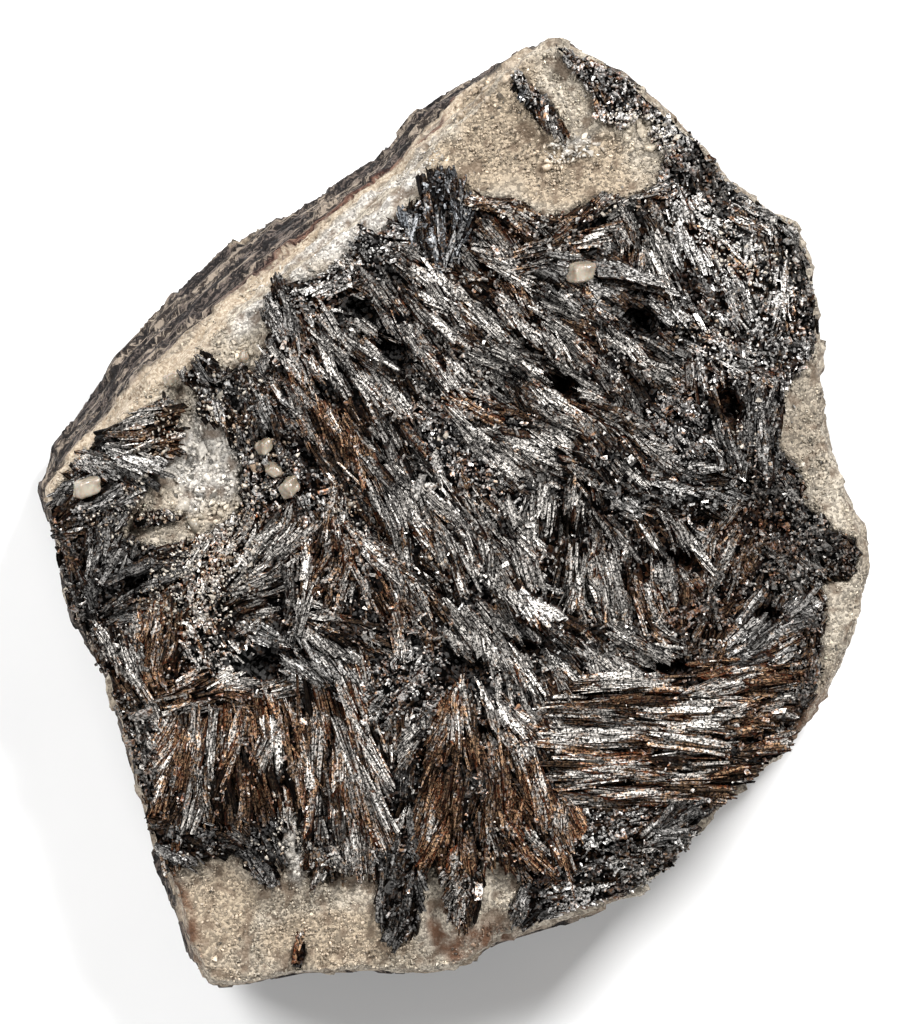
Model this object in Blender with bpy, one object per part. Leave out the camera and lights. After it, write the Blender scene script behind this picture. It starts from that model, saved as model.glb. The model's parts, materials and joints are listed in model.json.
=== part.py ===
"""Betekhtinite specimen: a hand-sized slab of pale carbonate matrix on dark bedded shale.

It lies on its broken back with the crystal face up.  A crust of criss-crossing, blade-like
betekhtinite crystals covers most of that face, small tufts and single laths of the same mineral
sit on the bare matrix, and a few pale calcite crystals stand between them.
All sizes below are in millimetres, and MM turns them into Blender's metres.
"""

import math
import random

import bmesh
import bpy
from mathutils import Euler, Matrix, Vector, noise

MM = 0.001
SEED = 43

# Driving dimensions
SLAB_HEIGHT = 12.2  # rim of the front face above the surface that the slab lies on
SLAB_REACH = (27.0, 31.0)  # from the middle of the front face to its rim, across and along
CRUST_REACH = (25.0, 29.0)  # the same for the crust's edge
FRONT_DOME = 0.9  # how much higher the middle of the front face is than its rim
FRONT_RELIEF = 0.35  # lumps and hollows of the broken front face
SIDE_BULGE = 0.5  # how far the sides stand outside the silhouette's points
SHALE_LEDGE = 0.4  # width of the steps between the shale's beds
LIME_LEDGE = 0.08  # the same in the carbonate, which breaks more smoothly
GAP = 0.3  # clearance between a crystal and what it grows on
CRUST_RISE = 1.55  # thickness of the massive part of the crust, under its laths
CRUST_RELIEF = 0.55  # lumps and hollows of the massive part
CRUST_SPAN = (56.0, 64.0)  # the block that the crust is trimmed from, wider than the slab
BED_CELL = 3.3  # size of the lumps in the massive part of the crust
LATH_SPACING = 1.9  # one coarse lath for each such width of a sheaf
LATH_THICKNESS = 0.8
LATH_WEDGE = 0.27 / 0.5  # width of a lath's tip as a share of its root's
LATH_FAN = 14.0  # degrees between the outer laths of a sheaf
OVERHANG = 1.1  # how far a lath may reach past the edge of the crust
SKIRT = 0.6  # how far the crust may hang below the rim of the front face
PIT_DEPTH = 3.4  # depth of the funnels that cut the pits, which start above the crust
PIT_FLOOR = 0.45  # crust left under a pit
TUFT_HEIGHT = 2.2  # thickness of a tuft's lump, half of which lies in the matrix
CALCITE_HEIGHT = 1.3
CALCITE_CHAMFER = 0.15

# Silhouette of the slab, clockwise from its apex: x, y, and how far the rim of the front face lies
# inside it there.  The wide values are the sloping shale side at the upper left.
SLAB_OUTLINE = (
    (7.0, 31.4, 0.5), (9.2, 30.2, 0.4), (11.2, 29.2, 0.4), (13.6, 27.0, 0.4), (16.5, 24.6, 0.4),
    (17.8, 22.6, 0.4), (19.5, 21.0, 0.4), (22.6, 19.2, 0.5), (23.6, 17.0, 0.5), (24.2, 12.6, 0.4),
    (24.5, 9.0, 0.5), (24.8, 5.4, 0.5), (26.0, 1.4, 0.5), (27.1, -1.0, 0.5), (27.4, -3.8, 0.5),
    (27.2, -6.4, 0.5), (26.2, -9.2, 0.5), (24.9, -12.0, 0.5), (22.6, -14.9, 0.5),
    (19.8, -17.8, 0.5), (17.4, -19.7, 0.5), (14.6, -23.4, 0.4), (12.0, -25.2, 0.4),
    (9.0, -26.5, 0.6), (5.5, -27.9, 1.0), (3.0, -28.9, 1.1), (1.0, -30.1, 0.7), (-1.6, -30.7, 0.4),
    (-5.5, -30.4, 0.4), (-10.0, -30.6, 0.4), (-13.2, -31.2, 0.4), (-16.2, -31.4, 0.6),
    (-17.3, -29.6, 0.9), (-18.3, -26.8, 0.9), (-19.3, -23.8, 0.7), (-20.3, -20.6, 0.5),
    (-21.4, -16.8, 0.5), (-22.6, -12.5, 0.5), (-23.4, -9.6, 0.5), (-25.2, -7.0, 0.5),
    (-26.0, -4.6, 0.5), (-26.4, -2.0, 0.5), (-27.4, 1.6, 0.6), (-26.6, 4.4, 1.9),
    (-24.6, 7.2, 2.7), (-22.8, 10.2, 3.5), (-20.4, 12.8, 3.9), (-17.4, 15.4, 3.9),
    (-14.2, 18.1, 4.1), (-11.2, 20.2, 4.0), (-8.0, 22.1, 3.5), (-5.2, 23.5, 3.0),
    (-2.6, 26.4, 2.6), (-0.2, 28.0, 2.2), (2.4, 29.4, 1.6), (4.9, 30.7, 0.7),
)

# Rings of the slab, from its flat back to the rim of its front face: height as a share of the
# rim's height, how far the ring lies inside the silhouette at most and at least, its share of the
# rim's own inset, and its share of a ledge.  The close pairs are steps between shale beds.
SIDE_RINGS = (
    (0.00, 8.2, 2.6, 0.00, 0.0),
    (0.13, 3.0, 0.5, 0.00, 0.0),
    (0.29, 0.7, 0.0, 0.00, 0.0),
    (0.33, 0.4, 0.0, 0.06, 1.0),
    (0.51, 0.4, 0.0, 0.38, 0.0),
    (0.55, 0.3, 0.0, 0.42, 1.0),
    (0.75, 0.6, 0.0, 0.68, 0.0),
    (0.79, 0.5, 0.0, 0.74, 1.0),
    (1.00, 0.2, 0.0, 1.00, 0.0),
)
FRONT_RINGS = (0.93, 0.80, 0.62, 0.40, 0.18)  # size of each ring of the front face

# Edge of the crust, clockwise from the left tip of the slab.  The bay near its start runs round a
# patch of bare matrix.
CRUST_OUTLINE = (
    (-27.2, 0.6), (-25.8, 2.2), (-24.0, 4.5), (-22.8, 5.7), (-21.0, 6.7), (-19.2, 7.6),
    (-18.3, 6.6), (-18.1, 4.6), (-19.6, 3.2), (-20.6, 1.2), (-22.6, -1.6), (-19.6, -2.4),
    (-17.2, -1.7), (-15.4, -0.8), (-14.1, 0.2), (-14.2, 3.2), (-15.4, 5.7), (-17.0, 6.4),
    (-17.1, 8.0), (-17.6, 10.0), (-15.2, 9.6), (-13.0, 9.4), (-12.0, 12.0), (-12.6, 13.6),
    (-12.0, 15.2),
    (-9.4, 15.7), (-7.6, 16.6), (-5.6, 18.2), (-3.2, 20.2), (-1.6, 21.0), (-1.0, 23.0),
    (0.2, 22.3), (1.4, 21.0), (4.2, 20.9), (6.0, 19.8), (7.6, 20.0), (9.6, 21.3), (11.8, 20.8),
    (13.6, 21.9), (14.2, 23.8), (14.0, 25.8), (12.4, 26.4), (11.4, 25.5), (9.4, 26.4), (9.3, 27.8),
    (7.7, 29.6), (6.8, 31.2), (8.9, 30.3), (11.1, 29.3), (13.5, 27.2), (16.4, 24.7), (17.8, 22.7),
    (19.6, 21.0), (22.6, 19.3), (23.6, 17.1), (24.3, 12.8), (24.1, 10.4), (22.2, 8.4), (21.9, 6.3),
    (21.6, 4.5), (23.3, 2.6), (23.5, 0.6), (25.2, -1.0), (27.0, -1.8), (27.0, -3.5), (26.2, -4.6),
    (24.6, -4.6), (24.9, -6.3), (24.6, -9.8), (23.8, -12.6), (22.5, -15.0), (19.7, -17.9),
    (17.2, -19.5), (15.8, -22.1), (14.5, -23.6), (12.0, -25.3), (8.9, -26.3), (6.3, -27.1),
    (4.4, -27.8), (3.8, -26.8), (4.7, -24.8), (3.5, -23.4), (1.8, -23.0), (1.8, -26.0),
    (0.8, -28.0), (-0.4, -26.8), (-0.6, -24.6), (-1.6, -23.3), (-2.4, -27.8), (-4.0, -29.1),
    (-5.1, -27.0), (-4.9, -23.2), (-6.7, -23.6), (-9.1, -24.8), (-10.1, -23.2), (-11.0, -20.0),
    (-12.1, -22.2), (-11.5, -25.0), (-12.8, -25.0), (-14.6, -22.6), (-17.2, -23.3), (-19.3, -23.9),
    (-20.3, -20.9), (-20.8, -18.9), (-21.2, -17.2), (-22.6, -12.7), (-23.4, -9.8), (-25.2, -7.1),
    (-26.0, -4.7), (-26.4, -2.0),
)

# Sheaves of laths in the crust: x, y, heading in degrees from +X, length, width
NORTH_SHEAVES = (
    (-0.5, 19.5, 96, 6.2, 3.4), (3.6, 19.6, -14, 5.4, 2.6), (8.0, 18.7, 32, 8.5, 2.2),
    (12.6, 18.6, -58, 5.0, 3.0), (-4.6, 17.2, -25, 5.0, 2.6), (-9.4, 14.4, 20, 4.2, 2.2),
    (-11.3, 12.6, -65, 5.0, 2.4), (10.6, 28.0, -42, 5.0, 2.2), (15.2, 23.6, -60, 5.0, 2.6),
    (18.6, 19.4, -30, 4.6, 2.6), (16.4, 17.4, -55, 4.6, 3.0), (20.8, 16.6, -70, 5.0, 2.6),
    (17.6, 14.2, -50, 4.6, 3.0), (22.0, 12.6, -85, 4.6, 2.2), (18.4, 10.6, -20, 4.6, 2.8),
)
CENTRE_SHEAVES = (
    (-2.5, 15.5, -28, 8.0, 3.2), (3.0, 14.9, -32, 9.0, 3.2), (9.6, 15.4, -22, 7.0, 3.2),
    (0.6, 12.0, -34, 10.0, 3.2), (6.2, 12.2, -36, 9.0, 3.2), (13.2, 12.6, -24, 6.0, 3.0),
    (-2.6, 9.4, -38, 9.0, 3.2), (4.2, 9.2, -32, 9.0, 3.2), (11.0, 9.6, -38, 7.5, 3.2),
    (2.6, 6.6, -20, 8.0, 2.8), (8.8, 6.8, -26, 7.5, 3.0), (4.4, 4.2, -20, 8.0, 2.6),
    (11.2, 3.4, -34, 7.0, 3.0), (14.6, 1.2, -12, 6.5, 2.8), (15.0, 6.4, -30, 5.0, 3.0),
    (18.4, 6.8, -62, 5.6, 2.8), (20.4, 5.0, -84, 6.0, 2.0), (21.6, 1.2, -40, 4.4, 2.8),
)
WEST_SHEAVES = (
    (-15.4, 7.6, -46, 6.4, 2.8), (-12.6, 6.2, -54, 7.2, 3.0), (-9.4, 8.6, -50, 7.4, 3.0),
    (-6.4, 8.0, -52, 8.0, 3.0), (-3.8, 5.4, -58, 8.0, 3.0), (-7.2, 3.8, -56, 7.0, 3.0),
    (-11.0, 2.4, -48, 5.0, 2.4), (-0.6, 4.6, -52, 6.0, 2.8), (-22.4, 3.3, -10, 4.8, 2.2),
    (-20.8, 5.2, 24, 3.6, 1.8), (-23.8, 0.8, 30, 3.6, 2.2), (-23.2, -2.8, 75, 4.0, 2.4),
    (-21.6, -5.0, 25, 4.4, 2.6), (-24.4, -5.4, -60, 3.6, 2.2), (-12.6, -4.2, 50, 6.4, 2.2),
    (-10.4, -6.0, 94, 4.6, 2.6), (-16.2, -4.6, 65, 4.4, 2.6), (-16.6, -8.6, -60, 4.4, 3.0),
    (-21.6, -11.2, -56, 5.0, 2.6), (-19.0, -8.0, 80, 3.6, 2.4),
)
SOUTH_WEST_SHEAVES = (
    (-3.6, 0.0, -54, 9.0, 3.2), (-0.4, -2.6, -52, 10.0, 3.2), (2.8, -3.0, -58, 7.5, 2.6),
    (-4.6, -4.2, -46, 8.6, 3.4), (-7.6, -3.4, -86, 7.0, 2.6), (-8.4, -7.6, -20, 5.0, 2.4),
    (-14.8, -12.2, 8, 7.0, 2.6), (-9.2, -10.4, 150, 5.0, 2.2), (-7.2, -16.6, -74, 8.4, 4.6),
    (-14.6, -17.0, -88, 7.4, 3.2), (-11.4, -16.8, -78, 7.4, 3.0), (-17.8, -17.2, -92, 7.0, 2.8),
    (-9.0, -21.6, -84, 4.0, 2.4), (-12.4, -22.2, -40, 4.6, 2.4), (-17.0, -21.8, -12, 4.4, 2.2),
    (-3.4, -16.6, 82, 6.8, 2.8), (-3.0, -12.2, 40, 5.0, 2.8), (-3.7, -25.2, -88, 7.0, 2.2),
    (-0.4, -18.2, -90, 8.2, 3.0), (0.6, -24.6, -88, 5.2, 2.0), (2.8, -18.4, -76, 8.4, 3.0),
)
SOUTH_EAST_SHEAVES = (
    (8.4, -3.2, -78, 8.0, 3.2), (11.4, -4.4, -68, 7.4, 3.0), (6.2, -7.0, -30, 5.0, 2.6),
    (5.0, -11.4, -60, 6.4, 2.8), (12.6, -8.8, -26, 6.4, 2.8), (16.4, -7.2, 84, 5.6, 3.0),
    (20.8, -8.4, 40, 5.4, 2.8), (18.8, -2.6, 70, 5.0, 2.8), (22.6, -3.4, -34, 4.6, 2.8),
    (25.2, -2.8, -50, 2.8, 2.0), (14.6, -3.0, -56, 4.8, 2.8), (18.0, -11.2, 10, 7.6, 2.2),
    (13.0, -13.0, 2, 9.0, 2.4), (20.6, -13.6, 14, 5.4, 2.2), (12.6, -15.0, 1, 9.5, 2.4),
    (12.8, -16.8, 3, 9.0, 2.2), (19.4, -16.0, 16, 5.0, 2.2), (11.4, -18.6, 4, 8.5, 2.2),
    (4.8, -15.0, -50, 6.0, 2.8), (6.4, -19.8, -62, 7.4, 2.8), (3.8, -21.8, -62, 5.4, 2.4),
    (10.2, -21.2, 18, 6.0, 2.6), (14.4, -20.6, 40, 4.0, 2.4), (8.6, -24.4, 18, 5.6, 2.4),
    (12.6, -23.4, 26, 4.0, 2.0), (5.2, -25.6, 60, 3.4, 2.2),
)
SHEAVES = (
    NORTH_SHEAVES + CENTRE_SHEAVES + WEST_SHEAVES + SOUTH_WEST_SHEAVES + SOUTH_EAST_SHEAVES
)

# Pits between the sheaves: x, y, length, width, heading in degrees
PITS = (
    (-12.2, -10.3, 2.8, 1.7, 10), (0.8, -10.2, 2.7, 1.8, 0), (15.0, -3.2, 2.2, 1.7, 0),
    (12.5, 12.8, 2.4, 1.5, -30), (7.4, 8.4, 2.6, 1.4, -30), (-4.0, 10.8, 2.4, 1.7, -50),
    (-6.0, 13.4, 2.4, 1.5, -20), (18.6, 7.2, 2.6, 1.4, -70), (21.0, -6.8, 2.2, 1.5, 0),
    (-21.0, -4.7, 2.2, 1.4, 60), (-9.6, 3.6, 2.6, 1.4, -60), (7.5, -0.3, 2.6, 1.4, -60),
    (14.0, -10.3, 2.6, 1.3, 0), (9.0, -12.3, 2.0, 1.2, 0), (5.0, -9.0, 3.2, 1.1, -8),
    (2.2, -14.6, 2.0, 1.3, 20),
)

# Tufts of laths apart from the crust: name, lump (x, y, length, width, heading), and laths
# (x, y, heading, length, width)
TUFTS = (
    ("betekhtinite_top_tuft", (5.8, 27.0, 4.4, 1.8, -50),
     ((4.7, 28.2, -62, 2.6, 1.0), (5.9, 26.8, -50, 3.4, 1.2), (6.6, 26.0, -42, 2.8, 1.0))),
    ("betekhtinite_low_speck", (-10.3, -29.5, 1.5, 1.2, 80),
     ((-10.2, -29.5, 74, 1.8, 0.7),)),
    ("betekhtinite_patch_lath", (-19.6, -0.4, 2.6, 0.9, 4),
     ((-19.7, -0.4, 4, 3.4, 1.0),)),
)

# Calcite crystals: name, x, y, length, width, heading, height of the middle over the matrix
CALCITES = (
    ("calcite_west", -24.4, 1.7, 1.5, 1.1, 20, 2.1),
    ("calcite_centre_upper", -12.6, 4.4, 0.95, 0.85, 40, 2.0),
    ("calcite_centre_middle", -12.0, 2.9, 0.9, 0.8, -35, 2.0),
    ("calcite_centre_lower", -10.9, 1.7, 1.15, 1.0, 50, 2.1),
    ("calcite_north", 8.5, 16.0, 1.5, 1.2, 10, 2.4),
    ("calcite_rim_upper", -14.1, 10.3, 0.8, 0.7, 60, 0.5),
    ("calcite_rim_lower", -18.9, 8.9, 0.9, 0.75, 20, 0.5),
)


def clear_scene():
    for obj in list(bpy.data.objects):
        bpy.data.objects.remove(obj, do_unlink=True)


def new_collection(name):
    collection = bpy.data.collections.new(name)
    bpy.context.scene.collection.children.link(collection)
    return collection


def new_material(name, colour, roughness, metallic=0.0):
    material = bpy.data.materials.new(name)
    material.use_nodes = True
    shader = material.node_tree.nodes["Principled BSDF"]
    shader.inputs["Base Color"].default_value = (*colour, 1.0)
    shader.inputs["Roughness"].default_value = roughness
    shader.inputs["Metallic"].default_value = metallic
    return material


def rumple(x, y, z, size):
    """Smooth noise from about -1 to 1 whose lumps are about `size` millimetres across."""
    return 1.6 * noise.noise(Vector((x, y, z)) / size)


def smooth_step(low, high, value):
    share = min(1.0, max(0.0, (value - low) / (high - low)))
    return share * share * (3.0 - 2.0 * share)


def turned(x, y, heading):
    """The vector (x, y) turned by `heading` degrees."""
    angle = math.radians(heading)
    return Vector((x * math.cos(angle) - y * math.sin(angle),
                   x * math.sin(angle) + y * math.cos(angle)))


def is_inside(x, y, outline):
    """Whether the point lies inside the closed outline, by counting the edges it crosses."""
    inside = False
    for (ax, ay, *_), (bx, by, *_) in zip(outline, outline[1:] + outline[:1]):
        if (ay > y) != (by > y) and x < ax + (y - ay) * (bx - ax) / (by - ay):
            inside = not inside
    return inside


# The slab

def front_height(x, y):
    """Height of the slab's front face, which is gently domed and lumpy."""
    reach = min(1.0, (x / SLAB_REACH[0]) ** 2 + (y / SLAB_REACH[1]) ** 2)
    lumps = rumple(x, y, 3.0, 6.0) + 0.5 * rumple(x, y, 9.0, 2.8)
    return SLAB_HEIGHT + FRONT_DOME * (1.0 - reach) + FRONT_RELIEF * lumps * (1.0 - 0.6 * reach)


def inward(index):
    """Unit vector from a point of the silhouette into the slab, square to its edge."""
    before = Vector(SLAB_OUTLINE[index - 1][:2])
    after = Vector(SLAB_OUTLINE[(index + 1) % len(SLAB_OUTLINE)][:2])
    along = (after - before).normalized()
    return Vector((along.y, -along.x))


def side_ring(share, most, least, rim_share, ledge, grow):
    ring = []
    for index, (x, y, rim) in enumerate(SLAB_OUTLINE):
        height = share * (front_height(x, y) + grow)
        shale = smooth_step(0.7, 2.0, rim)
        wander = min(1.0, max(0.0, 0.5 + 0.6 * rumple(x, y, 9.0 * share, 7.0)))
        inset = least + (most - least) * wander - SIDE_BULGE
        step = ledge * (LIME_LEDGE + (SHALE_LEDGE - LIME_LEDGE) * shale)
        point = Vector((x, y)) + (inset + rim_share * rim + step - grow) * inward(index)
        ring.append((point.x, point.y, height))
    return ring


def front_ring(rim, size, grow):
    ring = []
    for x, y, _ in rim:
        ring.append((x * size, y * size, front_height(x * size, y * size) + grow))
    return ring


def slab_mesh(name, grow=0.0):
    """The slab as rings of its silhouette, each joined to the next.  `grow` swells it all round."""
    rings = [side_ring(*numbers, grow) for numbers in SIDE_RINGS]
    rings += [front_ring(rings[-1], size, grow) for size in FRONT_RINGS]
    mesh = bmesh.new()
    loops = [[mesh.verts.new(Vector(point) * MM) for point in ring] for ring in rings]
    for lower, upper in zip(loops, loops[1:]):
        for index, corner in enumerate(lower):
            mesh.faces.new((corner, lower[index - 1], upper[index - 1], upper[index]))
    mesh.faces.new(loops[0])
    middle = mesh.verts.new(Vector((0.0, 0.0, front_height(0.0, 0.0) + grow)) * MM)
    for index, corner in enumerate(loops[-1]):
        mesh.faces.new((corner, loops[-1][index - 1], middle))
    bmesh.ops.triangulate(mesh, faces=mesh.faces[:])
    bmesh.ops.recalc_face_normals(mesh, faces=mesh.faces[:])
    data = bpy.data.meshes.new(name)
    mesh.to_mesh(data)
    mesh.free()
    return data


# Shapes shared by the crystals

def add_object(name, data, collection, material=None):
    obj = bpy.data.objects.new(name, data)
    collection.objects.link(obj)
    if material:
        data.materials.append(material)
    return obj


def add_cutter(name, data, collection):
    obj = add_object(name, data, collection)
    obj.hide_render = True
    obj.display_type = "WIRE"
    return obj


def prism_mesh(name, outline, low, high):
    """A flat-topped prism over a closed outline."""
    curve = bpy.data.curves.new(name, "CURVE")
    curve.dimensions = "2D"
    curve.fill_mode = "BOTH"
    curve.extrude = 0.5 * (high - low) * MM
    spline = curve.splines.new("POLY")
    spline.points.add(len(outline) - 1)
    spline.use_cyclic_u = True
    for point, (x, y) in zip(spline.points, outline):
        point.co = (x * MM, y * MM, 0.0, 1.0)
    obj = bpy.data.objects.new(name, curve)
    bpy.context.scene.collection.objects.link(obj)
    graph = bpy.context.evaluated_depsgraph_get()
    data = bpy.data.meshes.new_from_object(obj.evaluated_get(graph))
    bpy.data.objects.remove(obj, do_unlink=True)
    mesh = bmesh.new()
    mesh.from_mesh(data)
    bmesh.ops.remove_doubles(mesh, verts=mesh.verts[:], dist=0.01 * MM)
    bmesh.ops.translate(mesh, verts=mesh.verts[:], vec=(0.0, 0.0, 0.5 * (low + high) * MM))
    bmesh.ops.recalc_face_normals(mesh, faces=mesh.faces[:])
    mesh.to_mesh(data)
    mesh.free()
    return data


def lath_mesh(middle, heading, length, width, thickness, tilt, roll, sides=4):
    """A tapering blade along its heading, flat-topped with four sides or ridged with three."""
    mesh = bmesh.new()
    made = bmesh.ops.create_cone(
        mesh, cap_ends=True, segments=sides, radius1=0.5, radius2=0.5 * LATH_WEDGE, depth=1.0)
    corners = made["verts"]
    section = Matrix.Rotation(0.0 if sides == 3 else math.pi / 4, 4, "Z")
    shape = Matrix.Diagonal((width * 1.35, thickness * 1.35, length, 1.0))
    lay = Euler((0.0, math.radians(90.0), 0.0)).to_matrix().to_4x4()
    stand = Euler((0.0, -math.radians(tilt), math.radians(heading))).to_matrix().to_4x4()
    turn = Matrix.Rotation(math.radians(90.0 + roll), 4, "Z")
    place = Matrix.Translation(Vector(middle) * MM) @ Matrix.Scale(MM, 4)
    bmesh.ops.transform(mesh, verts=corners, matrix=place @ stand @ lay @ turn @ shape @ section)
    data = bpy.data.meshes.new("lath")
    mesh.to_mesh(data)
    mesh.free()
    return data


def add_boolean(obj, other, operation):
    """Joins, cuts or trims the object with another object or with all of a collection.

    The solver is MANIFOLD, because EXACT leaves pinched edges where hundreds of laths cross.
    """
    modifier = obj.modifiers.new(operation.lower() + "_" + other.name, "BOOLEAN")
    if isinstance(other, bpy.types.Collection):
        modifier.operand_type = "COLLECTION"
        modifier.collection = other
    else:
        modifier.object = other
    modifier.operation = operation
    modifier.solver = "MANIFOLD"


def biggest_body(mesh):
    """The vertices of the connected body that has the most of them."""
    left = set(mesh.verts)
    bodies = []
    while left:
        body = {left.pop()}
        edge = list(body)
        while edge:
            corner = edge.pop()
            near = {link.other_vert(corner) for link in corner.link_edges} & left
            left -= near
            body |= near
            edge += near
        bodies.append(body)
    return max(bodies, key=len)


def part_pinched_edges(mesh):
    """Gives a flat pair of triangles its own edge where another pair runs between the same ends."""
    for edge in [edge for edge in mesh.edges if len(edge.link_faces) > 2]:
        start, end = edge.verts
        first = edge.link_faces[0]
        second = max(edge.link_faces[1:], key=lambda face: face.normal.dot(first.normal))
        middle = mesh.verts.new(0.5 * (start.co + end.co))
        for face in (first, second):
            corners = list(face.verts)
            mesh.faces.remove(face)
            for dropped in (start, end):
                mesh.faces.new([middle if corner is dropped else corner for corner in corners])


def settle(obj):
    """Turns the object's Booleans into its mesh and drops crumbs that they cut off."""
    graph = bpy.context.evaluated_depsgraph_get()
    data = bpy.data.meshes.new_from_object(obj.evaluated_get(graph))
    obj.modifiers.clear()
    mesh = bmesh.new()
    mesh.from_mesh(data)
    bmesh.ops.dissolve_degenerate(mesh, edges=mesh.edges[:], dist=0.003 * MM)
    kept = biggest_body(mesh)
    bmesh.ops.delete(mesh, geom=[corner for corner in mesh.verts if corner not in kept])
    bmesh.ops.triangulate(mesh, faces=mesh.faces[:])
    part_pinched_edges(mesh)
    mesh.to_mesh(data)
    mesh.free()
    data.name = obj.name
    obj.data = data


# The crust

def crust_height(x, y):
    """Height of the massive part of the crust, which thins out towards the slab's edge."""
    reach = (x / CRUST_REACH[0]) ** 2 + (y / CRUST_REACH[1]) ** 2
    thickness = CRUST_RISE * (1.0 - 0.45 * smooth_step(0.55, 1.05, reach))
    lumps = rumple(x, y, 14.0, 4.2) + 0.45 * rumple(x, y, 17.0, 2.0)
    return front_height(x, y) + GAP + thickness + CRUST_RELIEF * lumps * (1.0 - 0.4 * reach)


def crust_block_mesh(name, dice):
    """A block over the whole slab with a lumpy top, from a grid whose points are shaken."""
    width, length = CRUST_SPAN
    shake = 0.34 * BED_CELL
    mesh = bmesh.new()
    bmesh.ops.create_grid(
        mesh, x_segments=round(width / BED_CELL), y_segments=round(length / BED_CELL), size=0.5)
    for corner in mesh.verts:
        x = corner.co.x * width + dice.uniform(-shake, shake)
        y = corner.co.y * length + dice.uniform(-shake, shake)
        corner.co = Vector((x, y, crust_height(x, y))) * MM
    grown = bmesh.ops.extrude_face_region(mesh, geom=mesh.faces[:])
    for corner in grown["geom"]:
        if isinstance(corner, bmesh.types.BMVert):
            corner.co.z = 0.6 * SLAB_HEIGHT * MM
    bmesh.ops.recalc_face_normals(mesh, faces=mesh.faces[:])
    data = bpy.data.meshes.new(name)
    mesh.to_mesh(data)
    mesh.free()
    return data


def fitted_span(x, y, heading, length):
    """Start and end of a lath along its heading, drawn in to overhang the crust only a little."""
    ends = []
    for side in (-1.0, 1.0):
        reach = 0.5 * length
        tip = Vector((x, y)) + turned(side * reach, 0.0, heading)
        root = tip - turned(side * OVERHANG, 0.0, heading)
        while reach > 0.4 and not (is_inside(tip.x, tip.y, SLAB_OUTLINE)
                                   and is_inside(root.x, root.y, CRUST_OUTLINE)):
            reach *= 0.85
            tip = Vector((x, y)) + turned(side * reach, 0.0, heading)
            root = tip - turned(side * OVERHANG, 0.0, heading)
        ends.append(side * reach)
    return ends


def sheaf_laths(x, y, heading, length, width, dice):
    """Coarse laths side by side that spread a little towards the far end of the sheaf."""
    laths = []
    count = max(1, round(width / LATH_SPACING))
    for number in range(count):
        share = (number + 0.5) / count - 0.5
        offset = turned(dice.uniform(-0.12, 0.12) * length, share * width, heading)
        bearing = heading + share * LATH_FAN + dice.uniform(-4.0, 4.0)
        own = length * dice.uniform(0.72, 1.0)
        near, far = fitted_span(x + offset.x, y + offset.y, bearing, own)
        centre = Vector((x, y)) + offset + turned(0.5 * (near + far), 0.0, bearing)
        lift = dice.uniform(0.12, 0.5)
        middle = (centre.x, centre.y, crust_height(centre.x, centre.y) + lift)
        blade = width / count * dice.uniform(0.78, 1.0)
        thickness = LATH_THICKNESS * dice.uniform(0.9, 1.3)
        tilt = dice.uniform(-5.0, 9.0)
        roll = dice.uniform(-24.0, 24.0)
        sides = dice.choice((3, 4))
        laths.append(lath_mesh(middle, bearing, far - near, blade, thickness, tilt, roll, sides))
    return laths


def make_laths(cutters, dice):
    """The coarse laths of every sheaf, one object each, in a collection of their own."""
    laths = bpy.data.collections.new("crust_laths")
    cutters.children.link(laths)
    for sheaf in SHEAVES:
        for number, blade in enumerate(sheaf_laths(*sheaf, dice)):
            add_cutter("lath", blade, laths)
    return laths


def pits_mesh(name, dice):
    """Ragged funnels that are sunk into the crust between the sheaves."""
    mesh = bmesh.new()
    for x, y, length, width, heading in PITS:
        made = bmesh.ops.create_cone(
            mesh, cap_ends=True, segments=5, radius1=0.36, radius2=0.9, depth=1.0)
        for corner in made["verts"]:
            corner.co.x *= dice.uniform(0.8, 1.25)
            corner.co.y *= dice.uniform(0.8, 1.25)
        shape = Matrix.Diagonal((length, width, PIT_DEPTH, 1.0))
        turn = Matrix.Rotation(math.radians(heading + dice.uniform(-12.0, 12.0)), 4, "Z")
        middle = Vector((x, y, front_height(x, y) + GAP + PIT_FLOOR + 0.5 * PIT_DEPTH))
        place = Matrix.Translation(middle * MM) @ Matrix.Scale(MM, 4)
        bmesh.ops.transform(mesh, verts=made["verts"], matrix=place @ turn @ shape)
    data = bpy.data.meshes.new(name)
    mesh.to_mesh(data)
    mesh.free()
    return data


def make_crust(parts, cutters, material, swollen_slab, calcites):
    dice = random.Random(SEED)
    crust = add_object("betekhtinite_crust", crust_block_mesh("betekhtinite_crust", dice), parts,
                       material)
    outline = prism_mesh("crust_outline", CRUST_OUTLINE, SLAB_HEIGHT - SKIRT, SLAB_HEIGHT + 8.0)
    add_boolean(crust, add_cutter("crust_outline", outline, cutters), "INTERSECT")
    add_boolean(crust, make_laths(cutters, dice), "UNION")
    pits = add_cutter("crust_pits", pits_mesh("crust_pits", dice), cutters)
    add_boolean(crust, pits, "DIFFERENCE")
    for pocket in calcites:
        add_boolean(crust, pocket, "DIFFERENCE")
    add_boolean(crust, swollen_slab, "DIFFERENCE")
    settle(crust)
    return crust


# Tufts and calcite crystals

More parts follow.
